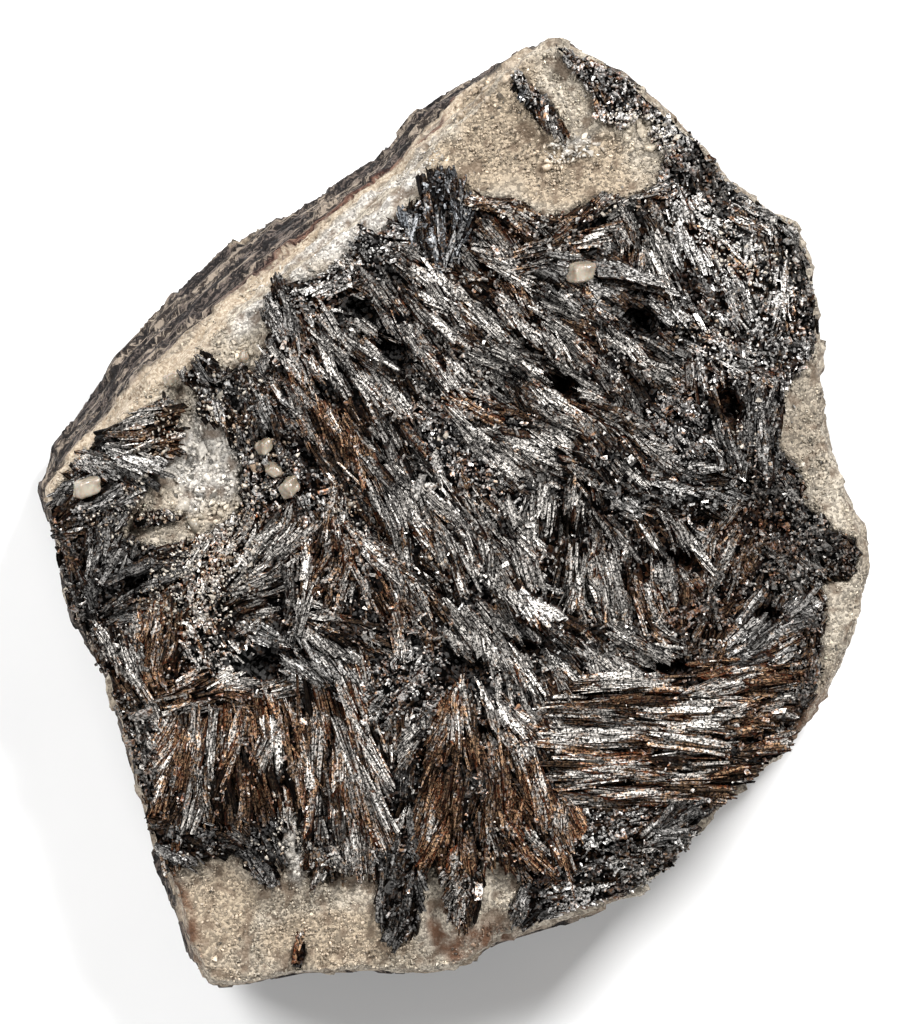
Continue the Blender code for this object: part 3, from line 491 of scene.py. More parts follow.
def new_group(name, inputs, outputs):
    """A shader group with named inputs (name: default) and outputs (name: kind)."""
    tree = bpy.data.node_groups.new(name, "ShaderNodeTree")
    for label, value in inputs.items():
        kind = "NodeSocketFloat" if isinstance(value, float) else "NodeSocketVector"
        if label.endswith("olour"):
            kind = "NodeSocketColor"
        socket = tree.interface.new_socket(label, in_out="INPUT", socket_type=kind)
        if value is not None:
            socket.default_value = value
    for label, kind in outputs.items():
        tree.interface.new_socket(label, in_out="OUTPUT", socket_type="NodeSocket" + kind)
    source = tree.nodes.new("NodeGroupInput").outputs
    sink = tree.nodes.new("NodeGroupOutput").inputs
    return tree, Nodes(tree), source, sink


def streak_group():
    """Fine lines along a lath: a value from 0 to 1 and the normal that they give."""
    tree, nodes, source, sink = new_group(
        "lath_streaks", {"Strand": None, "Place": None, "Depth": 0.4},
        {"Value": "Float", "Normal": "Vector"})
    strand = nodes.scaled(source["Strand"], (1.6, 22.0, 1.0))
    drift = nodes.scaled(source["Place"], (900.0, 900.0, 900.0))
    place = nodes.add("ShaderNodeVectorMath", {0: strand, 1: drift}, operation="ADD").outputs[0]
    lines = nodes.noise(place, 1.0, 1.0, 0.7)
    broad = nodes.noise(nodes.scaled(place, (0.6, 0.35, 0.6)), 1.0, 0.0)
    value = nodes.plus(nodes.times(lines, 0.6), nodes.times(broad, 0.4))
    bump = nodes.add("ShaderNodeBump", {
        "Strength": source["Depth"], "Distance": 0.08 * MM, "Height": value})
    tree.links.new(value, sink["Value"])
    tree.links.new(bump.outputs[0], sink["Normal"])
    return tree


def rust_group():
    """Rust over a colour, thickest in the crevices: the new colour, and how much rust there is."""
    tree, nodes, source, sink = new_group(
        "rust_bloom", {"Base colour": (0.3, 0.3, 0.3, 1.0), "Place": None, "Amount": 0.3,
                       "Height": 0.5},
        {"Colour": "Color", "Cover": "Float"})
    blotch = nodes.noise(source["Place"], 520.0, 2.0, 0.65)
    broken = nodes.noise(source["Place"], 3800.0, 1.0, 0.6)
    level = nodes.plus(nodes.plus(blotch, broken), nodes.times(source["Amount"], 0.62))
    level = nodes.math("SUBTRACT", level, nodes.times(source["Height"], 0.34))
    cover = nodes.ramp(level, 0.94, 1.30)
    tone = nodes.plus(nodes.times(source["Height"], 0.5), broken)
    rust = nodes.mix(nodes.ramp(tone, 0.62, 1.08), RUST_DEEP, RUST_PALE)
    tree.links.new(nodes.mix(cover, source["Base colour"], rust), sink["Colour"])
    tree.links.new(cover, sink["Cover"])
    return tree


def grain_group():
    """Sugary grains: brightness of each grain, a mask of dark specks, and a normal."""
    tree, nodes, source, sink = new_group(
        "sugary_grain", {"Place": None, "Size": 2600.0, "Depth": 0.5},
        {"Value": "Float", "Specks": "Float", "Normal": "Vector"})
    made = nodes.add("ShaderNodeTexVoronoi", {
        "Vector": source["Place"], "Scale": source["Size"], "Randomness": 1.0})
    tone = nodes.split(made.outputs["Color"])[0]
    fine = nodes.noise(source["Place"], 7000.0, 2.0)
    value = nodes.plus(nodes.times(tone, 0.6), nodes.times(fine, 0.4))
    specks = nodes.ramp(nodes.noise(source["Place"], 2600.0, 3.0, 0.7), 0.58, 0.68)
    height = nodes.math("SUBTRACT", value, made.outputs["Distance"])
    bump = nodes.add("ShaderNodeBump", {
        "Strength": source["Depth"], "Distance": 0.09 * MM, "Height": height})
    tree.links.new(value, sink["Value"])
    tree.links.new(specks, sink["Specks"])
    tree.links.new(bump.outputs[0], sink["Normal"])
    return tree


def new_material(name):
    """A material with its nodes, its Principled shader and the place of each point."""
    material = bpy.data.materials.new(name)
    material.use_nodes = True
    nodes = Nodes(material.node_tree)
    shader = material.node_tree.nodes["Principled BSDF"]
    place = nodes.add("ShaderNodeTexCoord").outputs
    return material, nodes, shader, place


def feed(nodes, shader, inputs):
    for name, value in inputs.items():
        nodes.put(shader.inputs[name], value)


def lath_material(groups):
    """Steel-grey sulphide with fine lines, a tint for each lath, and rust in blotches; each lath
    is painted darker towards its sides and underside as shade.
    """
    material, nodes, shader, place = new_material("betekhtinite_lath")
    tone, rust, blue = nodes.split(nodes.attribute("tint", "Vector"))
    streaks = nodes.group(groups["streaks"], {
        "Strand": place["UV"], "Place": place["Object"], "Depth": 0.7})
    shade = nodes.ramp(streaks["Value"], 0.36, 0.64, 0.35, 1.30)
    crest = nodes.attribute("crest")
    # painted shade: each lath darkens towards its sides and underside by its crest height, and
    # less so where rust covers it
    side_shade = nodes.ramp(crest, 0.12, 0.90, 0.03, 1.08)
    pitted = nodes.ramp(nodes.noise(place["Object"], 6200.0, 2.0, 0.75), 0.40, 0.60, 0.03, 1.60)
    steel = nodes.mix(blue, LATH_STEEL, LATH_BLUE)
    bloom = nodes.group(groups["rust"], {
        "Base colour": steel, "Place": place["Object"], "Amount": rust, "Height": crest})
    side_shade = nodes.math("MAXIMUM", side_shade, nodes.times(bloom["Cover"], 0.45))
    bright = nodes.times(nodes.times(tone, shade), nodes.times(side_shade, pitted))
    rough = nodes.ramp(streaks["Value"], 0.36, 0.64, 0.60, 0.36)
    feed(nodes, shader, {
        "Base Color": nodes.shaded(bloom["Colour"], bright),
        "Metallic": nodes.ramp(bloom["Cover"], 0.0, 1.0, 0.38, 0.10),
        "Roughness": nodes.math("MAXIMUM", rough, nodes.times(bloom["Cover"], 0.7)),
        "Specular IOR Level": 0.08,
        "Normal": streaks["Normal"]})
    return material


def bed_material(groups):
    """The dark massive sulphide between the laths, its own dark colour pushed to near black as
    painted shade in the gaps.
    """
    material, nodes, shader, place = new_material("betekhtinite_bed")
    grain = nodes.group(groups["grain"], {
        "Place": place["Object"], "Size": 4200.0, "Depth": 0.9})
    # near-black base: partly the sulphide's own colour, partly painted shade in the gaps between
    # the laths
    dark = nodes.ramp(grain["Value"], 0.45, 0.8, 0.002, 0.15)
    bloom = nodes.group(groups["rust"], {
        "Base colour": (0.30, 0.29, 0.28, 1.0), "Place": place["Object"],
        "Amount": nodes.attribute("rust")})
    feed(nodes, shader, {
        "Base Color": nodes.shaded(bloom["Colour"], dark), "Roughness": 0.8,
        "Specular IOR Level": 0.02, "Normal": grain["Normal"]})
    return material


def chip_material(groups):
    """Short angular grains of the sulphide, some of them bright by chance and some painted
    brighter as glints.
    """
    material, nodes, shader, place = new_material("betekhtinite_chip")
    tone, rust, blue = nodes.split(nodes.attribute("tint", "Vector"))
    mottle = nodes.ramp(nodes.noise(place["Object"], 5200.0, 2.0, 0.6), 0.38, 0.62, 0.15, 1.5)
    steel = nodes.mix(blue, CHIP_STEEL, CHIP_BLUE)
    bloom = nodes.group(groups["rust"], {
        "Base colour": steel, "Place": place["Object"], "Amount": rust})
    feed(nodes, shader, {
        "Base Color": nodes.shaded(bloom["Colour"], nodes.times(tone, mottle)),
        "Metallic": nodes.ramp(bloom["Cover"], 0.0, 1.0, 0.5, 0.1),
        "Roughness": nodes.ramp(bloom["Cover"], 0.0, 1.0, 0.32, 0.7),
        "Specular IOR Level": 0.1})
    return material


def rock_material(groups):
    """Pale sugary carbonate above, dark bedded shale below, with a cream seam between."""
    material, nodes, shader, place = new_material("carbonate_and_shale")
    grain = nodes.group(groups["grain"], {
        "Place": place["Object"], "Size": 5600.0, "Depth": 0.8})
    cloud = nodes.noise(place["Object"], 260.0, 3.0)
    pale = nodes.mix(nodes.ramp(cloud, 0.35, 0.65), CARBONATE_DIM, CARBONATE)
    pale = nodes.mix(nodes.attribute("bleached"), pale, CARBONATE_BLEACHED)
    pale = nodes.mix(nodes.attribute("ochre"), pale, CARBONATE_OCHRE)
    pale = nodes.shaded(pale, nodes.ramp(grain["Value"], 0.25, 0.75, 0.50, 1.25))
    pale = nodes.mix(nodes.times(grain["Specks"], 0.6), pale, CARBONATE_SPECK)
    pale = nodes.mix(nodes.times(nodes.attribute("pore"), 0.75), pale, CARBONATE_PORE)
    clouds = nodes.ramp(nodes.noise(place["Object"], 700.0, 4.0), 0.3, 0.6)
    stain = nodes.times(nodes.attribute("stained"), clouds)
    pale = nodes.mix(stain, pale, CARBONATE_STAIN)

    x, y, _ = nodes.split(place["Object"])
    bed = nodes.attribute("bed")
    layer = nodes.add("ShaderNodeCombineXYZ", {0: bed, 1: x, 2: y}).outputs[0]
    lines = nodes.noise(nodes.scaled(layer, (2.0, 200.0, 200.0)), 1.0, 4.0, 0.6)
    flecks = nodes.noise(nodes.scaled(layer, (5.5, 850.0, 850.0)), 1.0, 4.0, 0.75)
    dark = nodes.mix(nodes.ramp(flecks, 0.48, 0.60), (0.007, 0.005, 0.005), (0.125, 0.098, 0.084))
    light = nodes.mix(nodes.ramp(flecks, 0.45, 0.56), (0.022, 0.015, 0.012), (0.29, 0.238, 0.188))
    shale = nodes.mix(nodes.ramp(lines, 0.48, 0.58), dark, light)
    cream = nodes.mix(nodes.ramp(grain["Value"], 0.3, 0.7), CREAM_DIM, CREAM)
    cream = nodes.mix(nodes.ramp(flecks, 0.57, 0.66), cream, CREAM_FLECK)
    red = nodes.mix(nodes.ramp(flecks, 0.4, 0.6), (0.035, 0.012, 0.008), (0.15, 0.065, 0.04))
    colour = nodes.mix(nodes.attribute("shale"), pale, shale)
    colour = nodes.mix(nodes.attribute("red_line"), colour, red)
    colour = nodes.mix(nodes.attribute("seam"), colour, cream)
    layers = nodes.add("ShaderNodeBump", {
        "Strength": nodes.times(nodes.attribute("shale"), 0.9), "Distance": 0.22 * MM,
        "Height": nodes.plus(lines, nodes.times(flecks, 0.6)), "Normal": grain["Normal"]})
    feed(nodes, shader, {
        "Base Color": colour,
        "Roughness": nodes.ramp(grain["Value"], 0.5, 0.9, 0.82, 0.45),
        "Specular IOR Level": 0.3,
        "Normal": layers.outputs[0]})
    return material


def sugar_material():
    """Loose-looking calcite grains that take the colour of the rock they stand on."""
    material, nodes, shader, place = new_material("calcite_grain")
    mottle = nodes.ramp(nodes.noise(place["Object"], 5200.0), 0.3, 0.7, 0.70, 1.2)
    feed(nodes, shader, {
        "Base Color": nodes.shaded(nodes.attribute("tint", "Color"), mottle),
        "Roughness": 0.38})
    return material


def calcite_material(groups):
    """Clear to milky calcite with a warm tinge."""
    material, nodes, shader, place = new_material("calcite_crystal")
    milk = nodes.ramp(nodes.noise(place["Object"], 900.0, 3.0), 0.35, 0.7)
    grain = nodes.group(groups["grain"], {
        "Place": place["Object"], "Size": 2100.0, "Depth": 0.35})
    feed(nodes, shader, {
        "Base Color": nodes.mix(milk, (0.25, 0.20, 0.145), (0.47, 0.41, 0.33)),
        "Roughness": 0.26, "Transmission Weight": 0.25, "IOR": 1.56,
        "Subsurface Weight": 0.2, "Subsurface Scale": 0.5 * MM,
        "Normal": grain["Normal"]})
    return material


# The slab

def contact_height(x, y):
    """Height of the wavy, tilted plane on which the pale carbonate lies on the shale."""
    fall = x * math.cos(CONTACT_HEADING) + y * math.sin(CONTACT_HEADING)
    waves = 0.30 * rumple((x, y, 0.0), 9.0) + 0.12 * rumple((x, y, 3.0), 2.6)
    return CONTACT_HEIGHT - CONTACT_FALL * fall + waves


def from_line(x, y, line):
    """Signed distance from a line of (x, y, half width), in half widths: positive on its left."""
    best = None
    for (ax, ay, aw), (bx, by, bw) in zip(line, line[1:]):
        run = Vector((bx - ax, by - ay))
        share = min(1.0, max(0.0, ((x - ax) * run.x + (y - ay) * run.y) / run.length_squared))
        off = Vector((x - ax, y - ay)) - run * float(share)
        side = 1.0 if run.x * off.y - run.y * off.x > 0.0 else -1.0
        distance = off.length
        if best is None or distance < best[0]:
            best = (distance, side / (aw + share * (bw - aw)))
    return best[0] * best[1]


def make_rock(material, crust):
    """The slab with sugary relief on the carbonate and stepped beds on the shale."""
    data = remeshed("rock", "matrix", ROCK_VOXEL)
    points = vectors_of(data, "co")
    normals = vectors_of(data, "normal")
    names = ("shale", "seam", "red_line", "bed", "bleached", "ochre", "stained", "pore")
    marks = {name: np.zeros(len(points)) for name in names}
    for index, point in enumerate(points):  # a view: it moves along when points[index] is set
        x, y, z = point
        normal = normals[index]
        depth = z - contact_height(x, y)
        bed = depth + 0.3 * rumple((x, y, 0.0), 6.0, 3.0)
        shale = 1.0 - ramp(-0.12, 0.12, depth)
        face = ramp(0.25, 0.65, normal[2])
        side = 1.0 - ramp(0.5, 0.9, abs(normal[2]))
        hollow = pore(point)
        coarse = face * patch_weight(x, y, COARSE)
        sugar = 0.55 * rumple(point, 0.9) + 0.45 * rumple(point, 0.45, 4.0)
        sugar += 1.6 * coarse * abs(rumple(point, 1.1, 12.0))
        pale_relief = SUGAR_RELIEF * sugar + LUMP_RELIEF * rumple(point, 3.6, 7.0)
        pale_relief -= HOLLOW_DEPTH * hollow
        pale_relief += BREAK_RELIEF * side * fracture(point, 2.8)
        level = bed / BED_THICKNESS + 0.3 * rumple((x, y, 0.0), 2.2, 9.0)
        step = ramp(0.0, 0.35, level - math.floor(level))
        shale_relief = side * (
            BED_STEP * (step - 0.5) + BED_BREAK * fracture((x, y, 2.6 * z), 3.0))
        shale_relief += (1.0 - side) * BED_TOP * rumple((x, y, z * 4.0), 1.4, 5.0)
        relief = (1.0 - shale) * pale_relief + shale * shale_relief
        points[index] = point + normal * relief * (0.25 + 0.75 * min(z, 1.0))
        if face > 0.0 and z > FACE_FLOOR:
            points[index][2] += face * crust.skirt(x, y, z)
        marks["shale"][index] = shale
        marks["bed"][index] = bed
        marks["pore"][index] = hollow
        marks["bleached"][index] = face * patch_weight(x, y, BLEACHED)
        marks["ochre"][index] = face * patch_weight(x, y, OCHRE)
        rusty = max(face, ramp(-0.25, 0.35, rumple(point, 2.4, 15.0)))
        marks["stained"][index] = rusty * patch_weight(x, y, STAINED)
        seam = 0.85 * (1.0 - ramp(0.10, 0.30, abs(depth + 0.2 + 0.15 * rumple(point, 1.5))))
        if y - x > 12.0:
            shift = 0.30 * rumple((x, y, 0.0), 1.8, 2.0)
            brow = from_line(x, y, BROW_SEAM) + shift
            rim = from_line(x, y, RIM_SEAM) + shift
            near = ramp(-0.25, 0.0, normal[2]) * ramp(-1.8, -1.0, depth)
            seam = max(seam, near * (1.0 - ramp(0.8, 1.2, abs(brow))),
                       0.8 * face * (1.0 - ramp(0.7, 1.2, abs(rim))))
            marks["red_line"][index] = near * (1.0 - ramp(0.4, 0.9, abs(brow - 1.6))) * (
                0.8 * ramp(-18.0, -10.0, x))
        marks["seam"][index] = seam
    points[:, 2] = np.maximum(points[:, 2], 0.0)
    put_points(data, points)
    for name, values in marks.items():
        store(data, name, values)
    rock = new_object("rock", data, material)
    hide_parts("matrix")
    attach(rock, "root")


# The crystal bed

def make_bed(name, node, material, voxel, sink):
    """The massive sulphide, drawn in a little and made rough, for laths to stand on."""
    def relief(point):
        return 0.16 * (0.6 * rumple(point, 0.9, 2.0) + 0.4 * rumple(point, 0.45, 6.0)) - sink

    data = remeshed(name, node, voxel * (1.0))
    points = push_out(data, relief)
    store(data, "rust", [0.40 + 0.3 * rumple(point, 7.0, 1.0) for point in points])
    bed = new_object(name, data, material)
    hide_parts(node)
    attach(bed, "root")


# Shapes that are repeated

def shape_store(name):
    """A collection for the shapes that one kind of piece is scattered from."""
    shapes = bpy.data.collections.new(name)
    bpy.context.scene.collection.children.link(shapes)
    return shapes


def swept_shape(name, profile, sections, collection, ragged=0.0):
    """A closed form along X, 1 long.  A section is (x, y, z, width, height, skew), and ragged ends
    reach out and back by up to that much.  UV holds the place along it and around it."""
    mesh = bmesh.new()
    strand = mesh.loops.layers.uv.new("UVMap")
    crest = mesh.verts.layers.float.new("crest")
    rings = []
    for number, (along, side, rise, width, height, skew) in enumerate(sections):
        ring = []
        for index, (y, z) in enumerate(profile):
            tear = ragged * chance(number, index, len(profile), 3) if number in (
                0, len(sections) - 1) else 0.0
            corner = mesh.verts.new((along + skew * y + tear, side + y * width, rise + z * height))
            corner[crest] = z + 0.5
            ring.append(corner)
        rings.append(ring)
    count = len(profile)
    for number, (near, far) in enumerate(zip(rings, rings[1:])):
        for index in range(count):
            other = (index + 1) % count
            face = mesh.faces.new((near[index], near[other], far[other], far[index]))
            ends = (sections[number][0], sections[number + 1][0])
            around = (index / count, (index + 1) / count)
            for loop, uv in zip(face.loops, (
                    (ends[0], around[0]), (ends[0], around[1]),
                    (ends[1], around[1]), (ends[1], around[0]))):
                loop[strand].uv = uv
    mesh.faces.new(rings[0][::-1])
    mesh.faces.new(rings[-1])
    bmesh.ops.recalc_face_normals(mesh, faces=mesh.faces[:])
    bmesh.ops.triangulate(mesh, faces=mesh.faces[:])
    data = bpy.data.meshes.new(name)
    mesh.to_mesh(data)
    mesh.free()
    collection.objects.link(bpy.data.objects.new(name, data))


def lath_kinds():
    """Seven laths: chisel, ribbed, bent, needle and broken plate, and two splintered bundles."""
    kinds = shape_store("lath_kinds")
    plain = ((-0.5, -0.5), (0.5, -0.5), (0.42, 0.34), (-0.44, 0.5))
    ribbed = ((-0.5, -0.5), (0.5, -0.5), (0.40, 0.5), (0.04, 0.1), (-0.42, 0.42))
    ribs = ((-0.5, -0.5), (0.5, -0.5), (0.5, 0.0), (0.41, 0.38), (0.28, 0.02), (0.16, 0.5),
            (0.05, 0.10), (-0.08, 0.34), (-0.17, -0.05), (-0.30, 0.46), (-0.42, 0.05))
    steps = ((-0.5, -0.5), (0.5, -0.5), (0.5, -0.1), (0.30, 0.0), (0.26, 0.28), (0.04, 0.30),
             (0.02, 0.5), (-0.24, 0.44), (-0.27, 0.12), (-0.5, 0.08))
    swept_shape("lath_a_chisel", plain, (
        (-0.5, 0.0, 0.0, 0.85, 0.8, 0.05), (0.1, 0.0, 0.0, 1.0, 1.0, 0.0),
        (0.5, 0.0, -0.06, 0.7, 0.7, 0.1)), kinds, 0.05)
    swept_shape("lath_b_ribbed", ribbed, (
        (-0.5, 0.0, 0.0, 0.9, 0.8, -0.04), (0.0, 0.04, 0.04, 1.0, 1.0, 0.0),
        (0.5, -0.02, 0.0, 0.8, 0.8, 0.12)), kinds, 0.06)
    swept_shape("lath_c_bent", plain, (
        (-0.5, -0.22, -0.16, 0.9, 0.8, 0.0), (-0.12, 0.0, 0.1, 1.0, 1.0, 0.0),
        (0.22, 0.04, 0.1, 0.9, 0.9, 0.0), (0.5, -0.2, -0.1, 0.7, 0.7, 0.08)), kinds, 0.05)
    swept_shape("lath_d_needle", ((-0.5, -0.4), (0.5, -0.5), (0.1, 0.5)), (
        (-0.5, 0.0, 0.0, 1.0, 1.0, 0.0), (0.1, 0.05, 0.0, 0.8, 0.8, 0.0),
        (0.5, 0.0, 0.0, 0.3, 0.3, 0.0)), kinds)
    swept_shape("lath_e_plate", ribbed, (
        (-0.5, 0.1, 0.0, 0.8, 0.8, 0.14), (0.5, -0.1, 0.0, 0.9, 0.8, 0.16)), kinds, 0.08)
    swept_shape("lath_f_ribs", ribs, (
        (-0.5, 0.02, -0.1, 0.9, 0.8, 0.06), (-0.12, 0.0, 0.0, 1.0, 1.0, 0.0),
        (0.22, -0.03, 0.04, 0.96, 1.0, 0.0), (0.5, 0.0, -0.1, 0.8, 0.7, 0.08)), kinds, 0.13)
    swept_shape("lath_g_steps", steps, (
        (-0.5, -0.02, 0.0, 0.9, 0.9, -0.06), (0.08, 0.02, 0.05, 1.0, 1.0, 0.0),
        (0.5, 0.0, -0.1, 0.84, 0.8, -0.08)), kinds, 0.12)
    return kinds


def chip_kinds():
    """Three angular grains: a skewed block, a wedge and a stubby point."""
    kinds = shape_store("chip_kinds")
    square = ((-0.5, -0.5), (0.5, -0.42), (0.4, 0.5), (-0.46, 0.38))
    swept_shape("chip_a_block", square, (
        (-0.5, 0.0, 0.0, 0.9, 0.8, 0.12), (0.5, 0.1, 0.06, 0.8, 1.0, -0.1)), kinds)
    swept_shape("chip_b_wedge", square, (
        (-0.5, 0.1, -0.1, 0.6, 1.0, -0.1), (0.5, -0.1, 0.0, 1.0, 0.4, 0.2)), kinds)
    swept_shape("chip_c_point", ((-0.5, -0.5), (0.5, -0.4), (0.0, 0.5)), (
        (-0.5, 0.0, 0.0, 1.0, 1.0, 0.1), (0.5, 0.1, 0.1, 0.5, 0.5, -0.1)), kinds)
    return kinds


def sugar_kinds():
    """Three rounded, uneven calcite grains."""
    kinds = shape_store("sugar_kinds")
    for number in range(3):
        mesh = bmesh.new()
        bmesh.ops.create_icosphere(mesh, subdivisions=1, radius=0.55)
        for index, corner in enumerate(mesh.verts):
            corner.co *= 1.0 + 0.22 * chance(number, index, 5, 8)
        data = bpy.data.meshes.new(f"sugar_{number}")
        for face in mesh.faces:
            face.smooth = number != 1
        mesh.to_mesh(data)
        mesh.free()
        kinds.objects.link(bpy.data.objects.new(f"sugar_{number}", data))
    return kinds


def scatter_tree():
    """Puts one of the kinds on every point, turned and sized by the point's own values."""
    tree = bpy.data.node_groups.new("scatter_on_points", "GeometryNodeTree")
    for label, kind in (("Points", "Geometry"), ("Kinds", "Collection"),
                        ("Finish", "Material"), ("Spread", "Float"), ("Seed", "Int")):
        tree.interface.new_socket(label, in_out="INPUT", socket_type="NodeSocket" + kind)
    tree.interface.new_socket("Result", in_out="OUTPUT", socket_type="NodeSocketGeometry")
    nodes = Nodes(tree)
    source = tree.nodes.new("NodeGroupInput").outputs
    sink = tree.nodes.new("NodeGroupOutput").inputs
    kinds = nodes.add("GeometryNodeCollectionInfo", {
        "Collection": source["Kinds"], "Separate Children": True, "Reset Children": True})
    kind, turn, size = (
        nodes.add("GeometryNodeInputNamedAttribute", {"Name": name}, data_type=field).outputs[0]
        for name, field in (("kind", "INT"), ("turn", "FLOAT_VECTOR"), ("size", "FLOAT_VECTOR")))
    jitter = nodes.add("FunctionNodeRandomValue", data_type="FLOAT")
    socket = {entry.identifier: entry for entry in jitter.inputs}
    nodes.put(socket["Min_001"], nodes.math("SUBTRACT", 1.0, source["Spread"]))
    nodes.put(socket["Max_001"], nodes.plus(1.0, source["Spread"]))
    nodes.put(socket["Seed"], source["Seed"])
    factor = [entry for entry in jitter.outputs if entry.identifier == "Value_001"][0]
    grown = nodes.add("ShaderNodeVectorMath", {0: size, "Scale": factor}, operation="SCALE")
    rotation = nodes.add("FunctionNodeEulerToRotation", {0: turn})
    placed = nodes.add("GeometryNodeInstanceOnPoints", {
        "Points": source["Points"], "Instance": kinds.outputs[0], "Pick Instance": True,
        "Instance Index": kind, "Rotation": rotation.outputs[0],
        "Scale": grown.outputs[0]})
    real = nodes.add("GeometryNodeRealizeInstances", {"Geometry": placed.outputs[0]})
    painted = nodes.add("GeometryNodeSetMaterial", {
        "Geometry": real.outputs[0], "Material": source["Finish"]})
    tree.links.new(painted.outputs[0], sink["Result"])
    return tree


def scattered(name, rows, kinds, material, tree):
    """One piece made of many: a row is (place, turn, size, kind, tint)."""
    places, turns, sizes, forms, tints = zip(*rows)
    data = bpy.data.meshes.new(name + "_points")
    data.from_pydata([Vector(place) * MM for place in places], [], [])
    store(data, "turn", turns)
    store(data, "size", np.array(sizes) * MM)
    store(data, "kind", forms)
    store(data, "tint", tints)
    carrier = new_object(name + "_points", data)
    modifier = carrier.modifiers.new("scatter", "NODES")
    modifier.node_group = tree
    values = {"Kinds": kinds, "Finish": material, "Spread": SIZE_SPREAD, "Seed": 7}
    for entry in tree.interface.items_tree:
        if entry.in_out == "INPUT" and entry.name in values:
            modifier[entry.identifier] = values[entry.name]
    made = evaluated_mesh(carrier)
    bpy.data.objects.remove(carrier, do_unlink=True)
    for used_up in ("turn", "size", "kind"):
        if used_up in made.attributes:
            made.attributes.remove(made.attributes[used_up])
    made.name = name
    piece = new_object(name, made, material)
    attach(piece, "root")


# Placing

class Ground:
    """Answers how high some of the CAD's solids stand at a place, seen from above."""

    def __init__(self, *nodes):
        corners = []
        faces = []
        for node in nodes:
            data = frame["nodes"][node].data
            data.calc_loop_triangles()
            start = len(corners)
            corners += [corner.co / MM for corner in data.vertices]
            faces += [[start + v for v in tri.vertices] for tri in data.loop_triangles]
        self.tree = BVHTree.FromPolygons(corners, faces)

    def height(self, x, y):
        """Height at the place and the surface's normal there, or None beside it."""
        hit = self.tree.ray_cast(Vector((x, y, 40.0)), Vector((0.0, 0.0, -1.0)))
        if hit[0] is None:
            return None
        return hit[0].z, hit[1]

    def skirt(self, x, y, z):
        """How far the carbonate beside the crust rises towards it at a place on its top."""
        if self.height(x, y):
            return 0.0
        near = self.tree.find_nearest(Vector((x, y, z)), SKIRT_REACH)
        rise = 0.0 if near[0] is None else SKIRT_RISE * (1.0 - ramp(0.1, SKIRT_REACH, near[3]))
        return max(rise, HEAP_RISE * patch_weight(x, y, HEAPS))


def nearest_sheaf(x, y, numbers, dice):
    """Index of the sheaf that the place belongs to, and its place along and across it."""
    turn = np.radians(numbers[:, 2])
    dx = x - numbers[:, 0]
    dy = y - numbers[:, 1]
    along = dx * np.cos(turn) + dy * np.sin(turn)
    across = dy * np.cos(turn) - dx * np.sin(turn)
    reach = np.hypot(along / (0.5 * numbers[:, 3]), across / (0.5 * numbers[:, 4]))
    reach += dice.uniform(0.0, 0.35, len(numbers))
    best = int(np.argmin(reach))
    return best, along[best], across[best]


def lath_form(kind, usual, thick, dice):
    """Which of the shapes a lath has, and its length, width and height."""
    if dice.random() < SPLINTERED_SHARE and kind not in NO_BUNDLES:
        form = 5 + int(dice.integers(0, 2))
        length = usual * dice.uniform(0.9, 1.6)
        width = BUNDLE_WIDTH * dice.uniform(0.40, 0.80)
        return form, length, width, width * dice.uniform(0.35, 0.6)
    form = int(dice.choice(5, p=(0.30, 0.22, 0.10, 0.14, 0.24)))
    length = usual * dice.lognormal(0.0, 0.38)
    width = thick * dice.lognormal(0.0, 0.34)
    return form, length, width, width * dice.uniform(0.6, 1.2)


